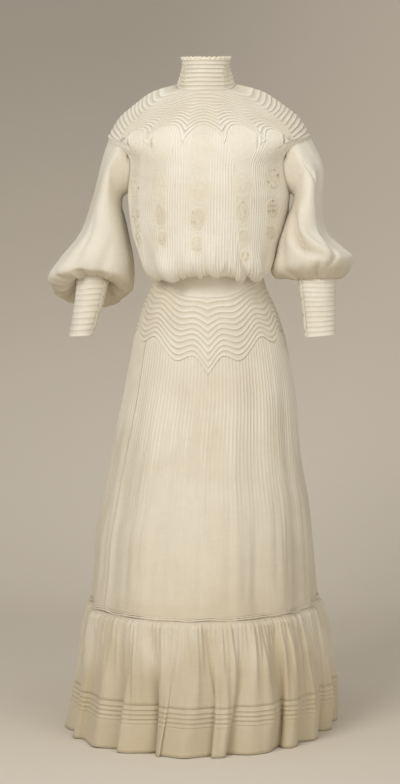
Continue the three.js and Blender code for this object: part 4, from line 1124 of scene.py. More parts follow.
def make_medallions(settings):
    """Oval lace wheels laid over openings in the front: a corded edge, rings, spokes, leaves and loops.

    All are lines of radius and angle: leaves and spokes run outwards at even angles, and each loop is a
    small oval between two leaves.
    """
    thread = in_mm(settings.lace_thread)
    for column, row, middle_x, middle_z, width, height in MEDALLIONS:

        def placed(radius, angle):
            """Points and normals on the bodice at a radius and angle of this oval."""
            x = middle_x + radius * width / 2 * np.cos(angle)
            z = middle_z + radius * height / 2 * np.sin(angle)
            share, down = place_on_front(x, z)
            points, normals = surface_with_normals(
                lambda s, d: body_point(-1, s, d), share, down, (0.005, 0.5), (SHOULDER_LEAN, 0)
            )
            lift = LACE_LIFTS[row - 1] + front_relief(share, down)
            return points + lift[..., None] * normals, normals

        size = math.sqrt(width * height)
        leaves = int(round(6 + size / 9))
        around = np.linspace(0, 2 * np.pi, WHEEL_POINTS, endpoint=False)[None]
        ring = np.ones((1, WHEEL_POINTS))
        cord = placed(ring * WHEEL_CORD_RING, around)
        parts = [tubes(*cord, WHEEL_CORD, flatness=0.8, sides=6, closed=True)]
        parts += [tubes(*placed(ring * radius, around), thread, closed=True) for radius in WHEEL_RINGS]
        parts.append(tubes(*placed(ring[:, ::3] * WHEEL_HUB, around[:, ::3]), thread * 1.3, closed=True))
        start = 2 * np.pi * np.arange(leaves)[:, None] / leaves
        run = np.linspace(0, 1, 9)[None]
        swell = np.sin(np.pi * np.clip(run, 0.02, 0.98)) ** 0.7
        leaf = thread + LEAF_WIDTH * size / leaves * swell * 0.5
        line = placed(mix(LEAF_FROM, LEAF_TO, run) + 0 * start, start + 0 * run)
        parts.append(tubes(*line, leaf, flatness=LEAF_FLATNESS))
        half = start + np.pi / leaves
        spoke = placed(mix(SPOKE_FROM, WHEEL_CORD_RING, run) + 0 * half, half + 0 * run)
        parts.append(tubes(*spoke, thread))
        loops = np.linspace(0, 2 * np.pi, 9, endpoint=False)[None]
        sideways = 0.62 * np.pi / leaves * np.sin(loops)
        loop = placed(LOOP_RING + LOOP_HALF * np.cos(loops) + 0 * half, half + sideways)
        parts.append(tubes(*loop, thread * 0.9, closed=True))
        piece = mesh_from(f"lace_{column}_{row}_threads", *joined(parts))
        put_in(piece, [f"lace_{column}_{row}"], "lace")


SLEEVE_COLUMNS = 150
# Rings of the grid: the head, the arm and, more closely, the gathers over the cuff.
SLEEVE_RINGS = ((0, 2, 20), (2, 8, 40), (8, 10, 24))
SLEEVE_LAYERS = 0.58
# Rings between which the puff's underside is painted in shade, coloured as one layer.
SHADED_UNDERSIDE_FROM, SHADED_UNDERSIDE_TO = 6, 9.5
SLEEVE_SEEDS = {"right": 51, "left": 52}
CUFF_GATHERS, HEAD_GATHERS, HEAD_GATHERS_REACH = 46, 31, 105
HEAD_INWARDS, HEAD_FORWARDS, HEAD_UPWARDS = 28, 10, 14
HEAD_MIDDLE, HEAD_HALF = 46, 32
SLEEVE_FOLDS = table(
    "side turn width depth top foot lean",
    (-1, -12, 9, 3.5, 2.2, 7.5, 6), (-1, 14, 8, 4, 3.2, 8, -8), (-1, 62, 9, 5, 2.5, 8.2, 10),
    (-1, 118, 8, 4, 3.5, 9, -6), (-1, 162, 9, 4, 2.8, 8.5, 8), (-1, -78, 8, 4, 3.2, 9, 5),
    (-1, -128, 9, 4, 2.6, 8.8, -7), (-1, 38, 5, 5, 5, 9.4, 12), (-1, 88, 5, 5, 5.4, 9.4, -8),
    (1, -14, 9, 4, 2.4, 7.8, -6), (1, 12, 8, 3, 2.2, 6.5, 9), (1, 80, 3.8, 9, 0.4, 4.6, -42),
    (1, 33, 3.8, 11, 2.6, 7.4, 21), (1, 46, 7, -4, 2.8, 7.2, 21), (1, 138, 11, 24, 2.2, 6.4, -42),
    (1, 112, 9, -6, 2.4, 6.4, -42), (1, 180, 30, -8, 0.8, 5.5, 0), (1, 186, 22, -13, 4.4, 8.4, 0),
    (1, 96, 8, 4, 3.4, 8.6, 7), (1, 150, 9, 4, 2.8, 8.6, -8), (1, -66, 8, 4, 3, 9, 6),
    (1, -116, 9, 4, 2.6, 8.8, -5), (1, -168, 8, 4, 3.2, 9, 8), (1, 76, 5, 5, 5.4, 9.4, 9),
)


def sleeve_gathers(angle, ring, seed):
    """Small gathers, long and short in turn, fanning out from the cuff and down from the armhole."""
    draw = np.random.default_rng(seed)
    total = np.zeros(np.shape(angle))
    for middle in np.linspace(0, 360, CUFF_GATHERS, endpoint=False):
        turn = middle + draw.uniform(-2.6, 2.6)
        width, depth, top = draw.uniform(1.7, 3.0), draw.uniform(1.4, 4.2), draw.uniform(6.2, 8.9)
        drift = draw.uniform(-2.5, 2.5)
        share = bump(wrap_turn(angle - turn - drift * (10 - ring)) / width)
        total += depth * share * smooth((ring - top) / 1.3) * (1 - 0.8 * smooth((ring - 9.2) / 0.8))
    for middle in np.linspace(-HEAD_GATHERS_REACH, HEAD_GATHERS_REACH, HEAD_GATHERS):
        turn = middle + draw.uniform(-2, 2)
        width, depth, foot = draw.uniform(1.8, 3), draw.uniform(0.8, 2.4), draw.uniform(0.7, 2.2)
        over_top = 1 - smooth((abs(turn) - 25) / 45)
        length = smooth(ring / 0.25) * (1 - smooth(ring / foot))
        total += over_top * depth * bump(wrap_turn(angle - turn) / width) * length
    return total


def sleeve_folds(side, angle, ring):
    """Depth of a sleeve's folds: bells in turn that drift round as they run down from top to foot."""
    total = 0
    for fold_side, turn, width, depth, top, foot, lean in rows_of(SLEEVE_FOLDS):
        if fold_side == side:
            drift = lean * (ring - top) / 3
            grown = within(ring, top, 2.2, foot - 1.6, 1.6)
            total = total + depth * grown * bump(wrap_turn(angle - turn - drift) / width)
    return total


def sleeve_head(side, angle, ring):
    """How far the gathered head of a sleeve stands over its armhole seam, inwards, outwards and up."""
    turned = wrap_turn(angle)
    share = bump((np.abs(turned) - HEAD_MIDDLE) / HEAD_HALF) * within(ring, 0, 0.3, 0.35, 1.6)
    move = [-side * HEAD_INWARDS * share, -np.sign(turned) * HEAD_FORWARDS * share, HEAD_UPWARDS * share]
    return np.stack(move, -1)


def make_sleeves(settings):
    """The sleeves: gathers and folds on their rings, the head standing over the armhole's seam."""
    rings = np.unique(np.concatenate([np.linspace(*span) for span in SLEEVE_RINGS]))
    angle, ring = np.meshgrid(np.linspace(0, 360, SLEEVE_COLUMNS, endpoint=False), rings)
    uneven = 1.2 * wavering(2.4 * sind(angle), ring * 1.1, 53) * smooth(ring) * smooth(10 - ring)
    # Painted shade: the puff's underside is coloured as one layer, darker than the rest of the sleeve.
    layers = SLEEVE_LAYERS * (1 - within(ring, SHADED_UNDERSIDE_FROM, 1.4, SHADED_UNDERSIDE_TO, 0.4))
    for name, arm in ARMS.items():
        points = sleeve_point(arm, angle, ring)
        height = sleeve_gathers(angle, ring, SLEEVE_SEEDS[name]) + uneven
        height = height - sleeve_folds(arm["side"], angle, ring)
        middle = points[..., :2].mean((0, 1))
        points = moved_out(points, height, True, middle) + sleeve_head(arm["side"], angle, ring)
        piece = cloth("sleeve_" + name + "_cloth", points, layers, closed=True, middle=middle)
        put_in(piece, ["sleeve_" + name], "lawn")


CUFF_COLUMNS = 96
CUFF_LAYERS = 0.7
CUFF_TUCK_SHARE = 0.45


def make_cuffs(settings):
    """The cuffs: rows of tucks moved out of their rings, uneven and wavering."""
    for name, arm in ARMS.items():
        places, heights = tuck_places(TUCK, arm["tucks"])
        angle, place = np.meshgrid(np.linspace(0, 360, CUFF_COLUMNS, endpoint=False), places)
        ring = 2 * place + sway(0.018, angle / 40, place * 8, 61, place)
        layers = unevenly(heights[:, None], 0.15, angle / 30, place * 9, 62)
        height = CUFF_TUCK_SHARE * in_mm(settings.tuck_height) * layers
        height = height + 0.5 * wavering(angle / 45, place * 3, 63)
        points = ring_point(arm["cuff"], angle, ring)
        middle = points[..., :2].mean((0, 1))
        points = moved_out(points, height, True, middle)
        layers = mix(CUFF_LAYERS, 1, layers)
        piece = cloth("cuff_" + name + "_tucks", points, layers, closed=True, middle=middle)
        put_in(piece, ["cuff_" + name], "lawn")


PLACKET_ANGLE, PLACKET_HALF = 150, 9
BUTTON_COUNT = 4
BUTTON_RADIUS = 3
BUTTON_THICKNESS = 1.8
BUTTON_STANDS_OFF = 3.1
BUTTON_SIDES = 20
BUTTON_PROFILE = table(
    "radius height",
    (0, -0.5), (0.9, -0.5), (1, -0.2), (1, 0.15), (0.93, 0.42), (0.78, 0.5), (0.62, 0.3), (0.3, 0.24),
    (0, 0.22),
)


def make_cuff_fastenings(settings):
    """A narrow lapped strip down each cuff's inner side, with small domed buttons with a rim."""
    for name, arm in ARMS.items():
        turned, ring = np.meshgrid(np.linspace(-PLACKET_HALF, PLACKET_HALF, 11), np.linspace(0.1, 1.98, 60))
        angle = PLACKET_ANGLE + turned
        middle = ring_point(arm["cuff"], np.arange(0, 360, 30.0), 1.0)[..., :2].mean(0)
        edge = smooth((PLACKET_HALF + 0.2 - np.abs(turned)) / 1.2)
        points = ring_point(arm["cuff"], angle, ring)
        height = 0.9 + 0.7 * edge + 0.15 * wavering(angle / 6, ring * 9, 71)
        points = moved_out(points, height, False, middle)
        piece = cloth("cuff_placket_" + name + "_strip", points, edge * 0.8, middle=middle)
        put_in(piece, ["cuff_placket_" + name], "lawn")
        for k in range(BUTTON_COUNT):
            here = mix(0.35, 1.8, k / (BUTTON_COUNT - 1))
            centre = ring_point(arm["cuff"], PLACKET_ANGLE, here)
            across = centre - ring_point(arm["cuff"], PLACKET_ANGLE + 180, here)
            across[2] = 0
            across /= np.linalg.norm(across)
            centre = centre + BUTTON_STANDS_OFF * across
            button = button_mesh(f"cuff_button_{name}_{k + 1}_dome", centre, across)
            put_in(button, [f"cuff_button_{name}_{k + 1}"], "button")


def button_mesh(name, centre, axis):
    """A small round button: a profile of radius and height carried round its axis."""
    up = np.array([0, 0, 1.0])
    side = np.cross(up, axis)
    angles = np.linspace(0, 2 * np.pi, BUTTON_SIDES, endpoint=False)
    angle, row = np.meshgrid(angles, np.arange(len(BUTTON_PROFILE["radius"])))
    radius = np.maximum(BUTTON_PROFILE["radius"][row], 0.001) * BUTTON_RADIUS
    lift = BUTTON_PROFILE["height"][row] * BUTTON_THICKNESS
    points = centre + radius[..., None] * (np.cos(angle)[..., None] * side + np.sin(angle)[..., None] * up)
    points = points + lift[..., None] * axis
    piece = mesh_from(name, points.reshape(-1, 3), grid_faces(*angle.shape, True))
    work = bmesh.new()
    work.from_mesh(piece.data)
    bmesh.ops.remove_doubles(work, verts=work.verts, dist=0.00001)
    bmesh.ops.recalc_face_normals(work, faces=work.faces)
    work.to_mesh(piece.data)
    work.free()
    return piece


WAIST_PANEL_LAYERS = 0.8
WAIST_PANEL_GRID = (180, 15)
WAIST_PANEL_TURNING = 0.86


def make_waist_panel(settings):
    """The panel: a plain band between its two seams, a little uneven, with its lower turning pressed on."""
    columns, rows = WAIST_PANEL_GRID
    turn, place = np.meshgrid(np.linspace(-180, 180, columns, endpoint=False), np.linspace(0, 1, rows))
    z = mix(WAIST_Z - 0.6 + 0 * turn, seam_height(WAIST_PANEL_EDGE, turn) - SEAM_LAP, place)
    fold = smooth((place - WAIST_PANEL_TURNING) / 0.1)
    height = 1.2 * fold + 0.9 * wavering(turn / 26, z / 30, 81) * (1 - fold)
    points = moved_out(skirt_point(turn, z), height, True)
    piece = cloth("waist_panel_cloth", points, mix(WAIST_PANEL_LAYERS, 1, fold), closed=True)
    put_in(piece, ["waist_panel"], "skirt_lawn")


HIP_TUCKS = 11
HIP_LAYERS = 0.3
# First and last turn with the count of columns, and width of the cut in metres.
HIP_PANELS = {"front": ((-90, 90, 241), 0.47), "back": ((90, 270, 161), 0.5)}


def hip_yoke_grid(turns):
    """Turn and height of the hip yoke's grid, its tucks running evenly between its two edges."""
    places, heights = tuck_places(TUCK, HIP_TUCKS)
    turn, place = np.meshgrid(turns, places)
    top = seam_height(WAIST_PANEL_EDGE, turn) + 1.0
    foot = seam_height(HIP_YOKE_EDGE, turn)
    z = mix(top, foot, place) + sway(0.8, turn / 11, place * 9, 91, place)
    return turn, z, place, np.broadcast_to(heights[:, None], turn.shape)


def make_hip_yoke(settings):
    """The hip yoke's two panels: rows of waved tucks moved out of the skirt's surface."""
    for name, (columns, width) in HIP_PANELS.items():
        turn, z, place, heights = hip_yoke_grid(np.linspace(*columns))
        layers = unevenly(heights, 0.15, turn / 9, place * 11, 92)
        soft = sway(0.9, turn / 16, z / 28, 93, place)
        points = moved_out(skirt_point(turn, z), in_mm(settings.hip_tuck_height) * layers + soft + 0.2)
        piece = cloth("hip_yoke_" + name + "_tucks", points, mix(HIP_LAYERS, 1, layers))
        put_in(piece, ["hip_yoke_" + name], "skirt_lawn")


SKIRT_PINTUCK_TURN = 2.5
PINTUCKS_RELEASE, RELEASE_UNEVEN, RELEASE_FADE = -765, 45, 60
SKIRT_ROWS = 46
SKIRT_LAYERS = 0.42
# Each gore's first and last turn.
GORES = {
    "skirt_front": (-52.5, 52.5), "skirt_side_left": (52.5, 112.5), "skirt_back_left": (112.5, 180),
    "skirt_back_right": (180, 247.5), "skirt_side_right": (247.5, 307.5),
}
SKIRT_FOLDS = table(
    "turn width depth top foot",
    (-17, 5, 4, -520, -1085), (36, 7, 5, -520, -1085), (-47, 5, 4, -540, -1085), (9, 4, 2.5, -560, -1040),
    (63, 5, 4, -540, -1085), (-75, 5, 6, -500, -1088), (21, 3, -2, -560, -1060), (-31, 4, -2.5, -560, -1060),
    (-66, 2.6, 3, -760, -1085), (-58, 2.2, 2.5, -840, -1060), (-49, 2.8, 3, -800, -1088),
    (-37, 2.4, 2.4, -870, -1088), (-30, 2.2, 2.2, -790, -1040), (-22, 2.6, 3.2, -820, -1088),
    (-9, 2.2, 2.4, -860, -1070), (-3, 2.4, 2, -800, -1030), (4, 2.2, 2.6, -850, -1088),
    (19, 2.6, 2.8, -800, -1088), (27, 2.2, 2.2, -880, -1060), (33, 2.6, 2.6, -830, -1088),
    (46, 2.2, 2.4, -780, -1050), (54, 2.6, 3.2, -850, -1088), (72, 2.4, 3, -780, -1088),
    (80, 2.4, 2.4, -860, -1060), (97, 2.6, 3, -760, -1088), (105, 2.4, 2.6, -840, -1088),
    (122, 2.8, 3.4, -760, -1088), (131, 2.4, 3, -820, -1060), (150, 2.8, 3.6, -740, -1088),
    (159, 2.4, 3, -800, -1088), (-170, 2.6, 3.4, -760, -1088), (-161, 2.4, 3, -820, -1070),
    (-142, 2.8, 3.6, -740, -1088), (-134, 2.4, 3, -800, -1088), (-115, 2.6, 3.2, -780, -1088),
    (-108, 2.4, 2.6, -840, -1060), (-92, 2.6, 3, -760, -1088), (-84, 2.4, 2.8, -820, -1088),
)


def fold_height(rows, turn, z):
    """Inward troughs of the skirt's softer folds, fading in from the top and out at the foot."""
    total = 0
    for middle, width, depth, top, foot in rows_of(rows):
        grown = within(-z, -top, 150, -foot - 50, 60)
        total = total - depth * grown * bump(wrap_turn(turn - middle) / width)
    return total


SEAM_SHADE, SEAM_SHADE_TOP = 0.22, -1052
SEAM_SHADE_FROM, SEAM_SHADE_TO = -44, 36


def seam_shade(turn, z):
    """Where the seam allowance of the flounce shows through in front, as a share of a layer."""
    across = smooth((turn - SEAM_SHADE_FROM) / 2) * smooth((SEAM_SHADE_TO - turn) / 2)
    return SEAM_SHADE * across * smooth((SEAM_SHADE_TOP - z) / 4)


def make_skirt(settings):
    """The gores: pintucks stitched down to uneven ends, then released into soft ridges and folds."""
    for name, (low, high) in GORES.items():
        count = int(round((high - low) / SKIRT_PINTUCK_TURN))
        places, heights = tuck_places(PINTUCK, count)
        turn, place = np.meshgrid(mix(low, high, places), np.linspace(0, 1, SKIRT_ROWS) ** 1.1)
        top = seam_height(HIP_YOKE_EDGE, turn) + SEAM_LAP
        z = mix(top, FLOUNCE_SEAM_Z + 0.2, place)
        tuck_index = np.floor((turn - low) / SKIRT_PINTUCK_TURN + 0.001)
        release = PINTUCKS_RELEASE - RELEASE_UNEVEN * wavering(tuck_index * 0.9, tuck_index * 0.4, 101)
        stitched = smooth((z - release) / RELEASE_FADE)
        edge = smooth((turn - low) / 0.9) * smooth((high - turn) / 0.9)
        layers = heights * stitched * edge
        released = bump((z - release + 45) / 90) * (1 - stitched) * heights
        height = in_mm(settings.skirt_tuck_height) * (layers + 0.6 * released)
        height = height + fold_height(SKIRT_FOLDS, turn, z) * mix(0.85, 1, edge)
        height = height + 1.1 * wavering(turn / 8, z / 160, 102) * smooth(-(z - release) / 120) * edge
        height = height - 0.7 * (1 - smooth((top - z) / 6))
        points = moved_out(skirt_point(turn, z), height)
        shown = SKIRT_LAYERS + mix(0.1, 0.4, stitched) * layers - seam_shade(turn, z)
        piece = cloth(name + "_cloth", points, shown)
        put_in(piece, [name], "skirt_lawn")


FLOUNCE_MIDDLE_X = -7
# Each cord's height over the seam and its radius.
CORDS = ((4, 1.9), (7.6, 1.2))


def make_flounce_cord(settings):
    """The corded heading: an uneven cord round the flounce seam, and a finer one just above it."""
    turn = np.linspace(-180, 180, 360, endpoint=False)[None]
    parts = []
    for above, radius in CORDS:
        z = FLOUNCE_SEAM_Z + above + 1.3 * wavering(turn / 5, turn / 17, 110)
        points, normals = surface_with_normals(skirt_point, turn, z, (0.3, 2), (FLOUNCE_MIDDLE_X, 0))
        swell = radius * (1 + 0.2 * wavering(turn * 0.9, turn * 0.3, 111))
        points = points + (0.7 + 0.3 * wavering(turn / 3, turn / 9, 112))[..., None] * normals
        parts.append(tubes(points, normals, swell, sides=8, closed=True))
    vertices, faces = joined(parts)
    piece = mesh_from("flounce_cord_heading", vertices, faces, layers=np.full(len(vertices), 0.7))
    put_in(piece, ["flounce_cord"], "skirt_lawn")


FLOUNCE_COLUMNS, FLOUNCE_ROWS = 385, 29
SMALL_GATHERS, LARGE_GATHERS = 190, 64


def gather_height(turn, fall):
    """Gathers under the cord: narrow ridges, long and short in turn, with troughs between them."""
    draw = np.random.default_rng(121)
    total = np.zeros(np.shape(turn))
    for middle in np.linspace(-180, 180, SMALL_GATHERS, endpoint=False):
        at, width = middle + draw.uniform(-0.55, 0.55), draw.uniform(0.42, 0.85)
        depth, length = draw.uniform(3, 8), draw.uniform(0.16, 0.8)
        drift = draw.uniform(-2.2, 2.2)
        shape = bump(wrap_turn(turn - at - drift * fall) / (width * (1 + 1.1 * fall)))
        total += depth * shape * smooth(fall / 0.04) * (1 - smooth((fall - 0.3 * length) / length))
    for middle in np.linspace(-180, 180, LARGE_GATHERS, endpoint=False):
        at, width = middle + draw.uniform(-1.6, 1.6), draw.uniform(1.2, 2.2)
        depth, top, drift = draw.uniform(2, 8), draw.uniform(0.02, 0.4), draw.uniform(-3, 3)
        shape = bump(wrap_turn(turn - at - drift * fall) / width)
        total += depth * shape * smooth((fall - top) / 0.3) * (1 - 0.45 * smooth((fall - 0.75) / 0.25))
    return total


FOLD_LAPS = table(
    "turn width lap",
    (-171, 4, 5), (-138, 4, -5), (-103, 3.6, 5), (-69, 3.6, 4.5), (-52, 4, -3), (-35, 3.6, 5),
    (-18, 3.8, 4.6), (-5.5, 3, -3.4), (7, 3, 4.4), (23, 3.6, -4), (40, 3.8, 5.6), (73, 4, 4.5),
    (91, 3.6, -4), (127, 4, 5), (146, 3.6, -4.5),
)


def lapped_turn(turn, fall):
    """Turn at which the flounce's cloth lies: each fold's trough is drawn sideways under its neighbour."""
    lap = sum(amount * bump(wrap_turn(turn - middle) / width) for middle, width, amount in rows_of(FOLD_LAPS))
    return turn + lap * smooth(fall / 0.9)


def fold_surface(turn, z, fall):
    """The flounce's surface, as deep as at its own turn but swung sideways to where its fold laps."""
    surface = flounce_point(turn, z)
    sideways = np.radians(lapped_turn(turn, fall) - turn)[..., None]
    x, y = surface[..., :1] - FLOUNCE_MIDDLE_X, surface[..., 1:2]
    swung_x = x * np.cos(sideways) - y * np.sin(sideways) + FLOUNCE_MIDDLE_X
    swung_y = x * np.sin(sideways) + y * np.cos(sideways)
    return np.concatenate([swung_x, swung_y, surface[..., 2:]], -1)


HEM_TUCKS = 4
HEM_TUCK = table("phase height", (0, 0), (0.45, 0), (0.6, 0.9), (0.86, 1), (0.985, 0.92))
HEM_TUCK_ZONE = 37
HEM_ROWS = 9
HEM_LAYERS = 0.35


def make_flounce(settings):
    """The flounce's front and back, gathered under the cord, and the hem below with its four tucks.

    Both are the folds' surface with the gathers moved out; the hem adds its tucks' height row by row.
    """
    zone = HEM_TUCK_ZONE / (HEM_BAND_TOP_Z - HEM_Z)
    places, heights = tuck_places(HEM_TUCK, HEM_TUCKS)
    hem_rows = np.concatenate([places * zone, np.linspace(zone + 0.01, 1, HEM_ROWS)])
    steps = np.concatenate([heights, np.full(HEM_ROWS, HEM_LAYERS)])
    for name, low, high in (("front", -90, 90), ("back", 90, 270)):
        turns = np.linspace(low, high, FLOUNCE_COLUMNS)
        turn, drop = np.meshgrid(turns, np.linspace(0, 1, FLOUNCE_ROWS) ** 1.2)
        z = mix(FLOUNCE_SEAM_Z + 1.5, HEM_BAND_TOP_Z, drop)
        fall = flounce_fall(z)
        height = gather_height(turn, fall)
        points = moved_out(fold_surface(turn, z, fall), height - 1.5 * (1 - smooth(fall / 0.03)))
        # Painted light: the gathers are coloured paler where they stand out.
        piece = cloth("flounce_" + name + "_gathers", points, SKIRT_LAYERS + 0.07 * height)
        put_in(piece, ["flounce_" + name], "skirt_lawn")
        turn, row = np.meshgrid(turns, hem_rows)
        z = mix(HEM_BAND_TOP_Z, HEM_Z, row)
        fall = flounce_fall(z)
        layers = np.broadcast_to(steps[:, None], turn.shape)
        height = in_mm(settings.hem_tuck_height) * layers + gather_height(turn, fall)
        points = moved_out(fold_surface(turn, z, fall), height)
        piece = cloth("flounce_hem_" + name + "_tucks", points, layers)
        put_in(piece, ["flounce_hem_" + name], "skirt_lawn")


# ---- stage ------------------------------------------------------------------------------------------

FLOOR_BELOW_HEM = 1
IMAGE_WIDTH, IMAGE_HEIGHT = 400, 784
CAMERA_DISTANCE = 5.0
CAMERA_HEIGHT = 1.04
CAMERA_AZIMUTH = 5
PIXELS_PER_METRE = 460
HORIZON_ROW = 250
AXIS_COLUMN = 206
SENSOR = 36


def make_camera():
    """A camera at bust height, turned down a little, its axis falling a little right of the middle.

    The lens is the sensor's size times the focal length in pixels over the image's height.
    """
    focal_pixels = PIXELS_PER_METRE * CAMERA_DISTANCE
    camera = bpy.data.cameras.new("camera")
    camera.sensor_fit = "VERTICAL"
    camera.sensor_height = SENSOR
    camera.lens = SENSOR * focal_pixels / IMAGE_HEIGHT
    camera.clip_end = 100
    view = bpy.data.objects.new("camera", camera)
    azimuth = math.radians(CAMERA_AZIMUTH)
    floor = -SHOULDER_HEIGHT * MM
    view.location = (
        CAMERA_DISTANCE * math.sin(azimuth), -CAMERA_DISTANCE * math.cos(azimuth), floor + CAMERA_HEIGHT
    )
    pitch = math.atan((IMAGE_HEIGHT / 2 - HORIZON_ROW) / focal_pixels)
    yaw = math.atan((AXIS_COLUMN - IMAGE_WIDTH / 2) / focal_pixels)
    view.rotation_euler = (math.pi / 2 - pitch, 0, azimuth + yaw)
    bpy.context.scene.collection.objects.link(view)
    bpy.context.scene.camera = view


BACKDROP_BEND, BACKDROP_BACK, BACKDROP_TOP = 900, 2300, 4200
BACKDROP_FRONT, BACKDROP_HALF_WIDTH = (-7000, -3000, 0), 4500
# Painted light on the paper: the floor paler, fading into the wall over a height, and the wall paler to one
# side.
FLOOR_LIGHT_HEIGHT = 2.1
SIDE_LIGHT_SPREAD, PAINTED_SIDE_LIGHT = (-0.5, 0.6), (0.93, 1.27)


def make_backdrop(settings):
    """Floor and wall as one sheet: a profile, flat, then a wide curve, then upright, carried across.

    Its colour is painted light: it runs from the paler, lit floor to the wall with height, and the wall is
    painted paler to one side. It isn't seen from behind.
    """
    floor = HEM_Z - FLOOR_BELOW_HEM
    bend, back = BACKDROP_BEND, BACKDROP_BACK
    arc = np.radians(np.linspace(0, 90, 24))
    y = np.concatenate([BACKDROP_FRONT, back - bend + bend * np.sin(arc), [back]])
    z = np.concatenate([[floor] * 3, floor + bend - bend * np.cos(arc), [floor + BACKDROP_TOP]])
    x = np.linspace(-BACKDROP_HALF_WIDTH, BACKDROP_HALF_WIDTH, 5)
    points = np.stack(np.broadcast_arrays(x, y[:, None], z[:, None]), -1)
    sweep = mesh_from("backdrop", points.reshape(-1, 3), grid_faces(len(y), 5, False)[:, ::-1])
    material, tree, shader, coordinates = new_material("backdrop paper", 0.9)
    place = node(tree, "ShaderNodeSeparateXYZ", {"Vector": coordinates["Object"]})

    def ramp(axis, start, end, low, high):
        """A soft step from low to high along an axis."""
        return node(
            tree, "ShaderNodeMapRange",
            {"Value": place.outputs[axis], "From Min": start, "From Max": end, "To Min": low, "To Max": high},
            interpolation_type="SMOOTHSTEP",
        ).outputs[0]

    # Painted light: the floor's paler colour fades into the wall's with height.
    up = ramp("Z", floor * MM, floor * MM + FLOOR_LIGHT_HEIGHT, 0, 1)
    # Painted light: the wall is paler towards one side.
    across = ramp("X", *SIDE_LIGHT_SPREAD, *PAINTED_SIDE_LIGHT)
    wall = node(tree, "ShaderNodeVectorMath", {0: settings.wall_colour, "Scale": across}, operation="SCALE")
    shade = blended(tree, up, (*settings.lit_floor_colour, 1), wall.outputs[0])
    tree.links.new(shade, shader.inputs["Base Color"])
    facing = tree.nodes.new("ShaderNodeNewGeometry")
    shown = node(tree, "ShaderNodeMath", {0: 1.0, 1: facing.outputs["Backfacing"]}, operation="SUBTRACT")
    tree.links.new(shown.outputs[0], shader.inputs["Alpha"])
    sweep.data.materials.append(material)


def area_light(name, location, target, width, power, colour=(1, 0.975, 0.945)):
    """A soft square lamp aimed at a point."""
    lamp = bpy.data.lights.new(name, "AREA")
    lamp.shape = "SQUARE"
    lamp.size = width
    lamp.energy = power
    lamp.color = colour
    holder = bpy.data.objects.new(name, lamp)
    holder.location = location
    away = np.array(target, float) - np.array(location, float)
    holder.rotation_euler = (
        math.atan2(math.hypot(away[0], away[1]), -away[2]), 0, math.atan2(away[1], away[0]) - math.pi / 2
    )
    bpy.context.scene.collection.objects.link(holder)


# Each lamp's place and width in metres; all are aimed at the waist.
LAMPS = (("key", (-1.6, -3.4, 1.6), 1.6), ("fill", (2.6, -3.6, 0.5), 2.4), ("top", (0.2, -0.4, 2.6), 1.8))
LAMPS_AIM = (0, 0, -0.4)


def make_stage(settings):
    """The camera, the backdrop, three soft lamps and the room's light."""
    make_camera()
    make_backdrop(settings)
    for name, location, width in LAMPS:
        area_light(name + " light", location, LAMPS_AIM, width, getattr(settings, name + "_power"))
    world = bpy.data.worlds.new("room")
    world.use_nodes = True
    room = world.node_tree.nodes["Background"].inputs
    room["Color"].default_value = (1, 0.97, 0.93, 1)
    room["Strength"].default_value = settings.room_strength
    bpy.context.scene.world = world
    bpy.context.scene.view_settings.view_transform = "Standard"


# ---- the add-on -------------------------------------------------------------------------------------

def length(name, description, default):
    """A length in metres."""
    return FloatProperty(name=name, description=description, default=default, unit="LENGTH", precision=5)


def power(name, description, default):
    """A lamp's power in watts."""
    return FloatProperty(name=name, description=description, default=default, unit="POWER")


def colour(name, description, default):
    """A colour of three shares from 0 to 1."""
    return FloatVectorProperty(
        name=name, description=description, default=default, size=3, subtype="COLOR", min=0, max=1
    )


class DayDressSettings(PropertyGroup):
    """Sizes, colours and lights that a user would change."""

    cloth_thickness: length("Cloth thickness", "Thickness of the lawn", 0.0006)
    tuck_height: length("Tuck height", "How far yoke, collar and cuff tucks stand proud", 0.0012)
    hip_tuck_height: length("Hip tuck height", "How far the hip yoke's tucks stand proud", 0.0016)
    pintuck_height: length("Pintuck height", "How far the bodice's pintucks stand proud", 0.0013)
    skirt_tuck_height: length("Skirt tuck height", "How far the skirt's pintucks stand proud", 0.0008)
    hem_tuck_height: length("Hem tuck height", "How far the tucks above the hem stand proud", 0.0008)
    lace_thread: length("Lace thread", "Radius of the lace threads", 0.00045)
    lawn_colour: colour("Lawn", "One layer of the upper lawn", (0.66, 0.60, 0.475))
    skirt_colour: colour("Skirt lawn", "One layer of the skirt's lawn", (0.68, 0.60, 0.45))
    folded_colour: colour("Folded lawn", "Lawn where its folds lie on each other", (0.90, 0.86, 0.76))
    # The aged colour is both the yellowing in clouds and the painted shade towards the hem.
    aged_and_hem_shade_colour: colour("Aged lawn", "Lawn where it has yellowed", (0.60, 0.51, 0.355))
    lace_colour: colour("Lace", "Cotton lace", (0.90, 0.84, 0.69))
    button_colour: colour("Buttons", "Shell buttons", (0.62, 0.55, 0.42))
    # The floor's colour is the paper's with painted light, paler than the wall's.
    lit_floor_colour: colour("Floor", "The paper underfoot", (0.72, 0.66, 0.56))
    wall_colour: colour("Wall", "The paper behind", (0.42, 0.377, 0.325))
    key_power: power("Key light", "Power of the key light", 84)
    fill_power: power("Fill light", "Power of the fill light", 46)
    top_power: power("Top light", "Power of the top light", 18)
    room_strength: FloatProperty(name="Room light", description="Strength of the room's light", default=0.35)


def settings_of(context):
    """The dress's settings."""
    return context.scene.day_dress


class DRESS_OT_stage(Operator):
    """Make the camera, the lights and the paper backdrop"""

    bl_idname = "dress.stage"
    bl_label = "Stage"

    def execute(self, context):
        make_stage(settings_of(context))
        return {"FINISHED"}


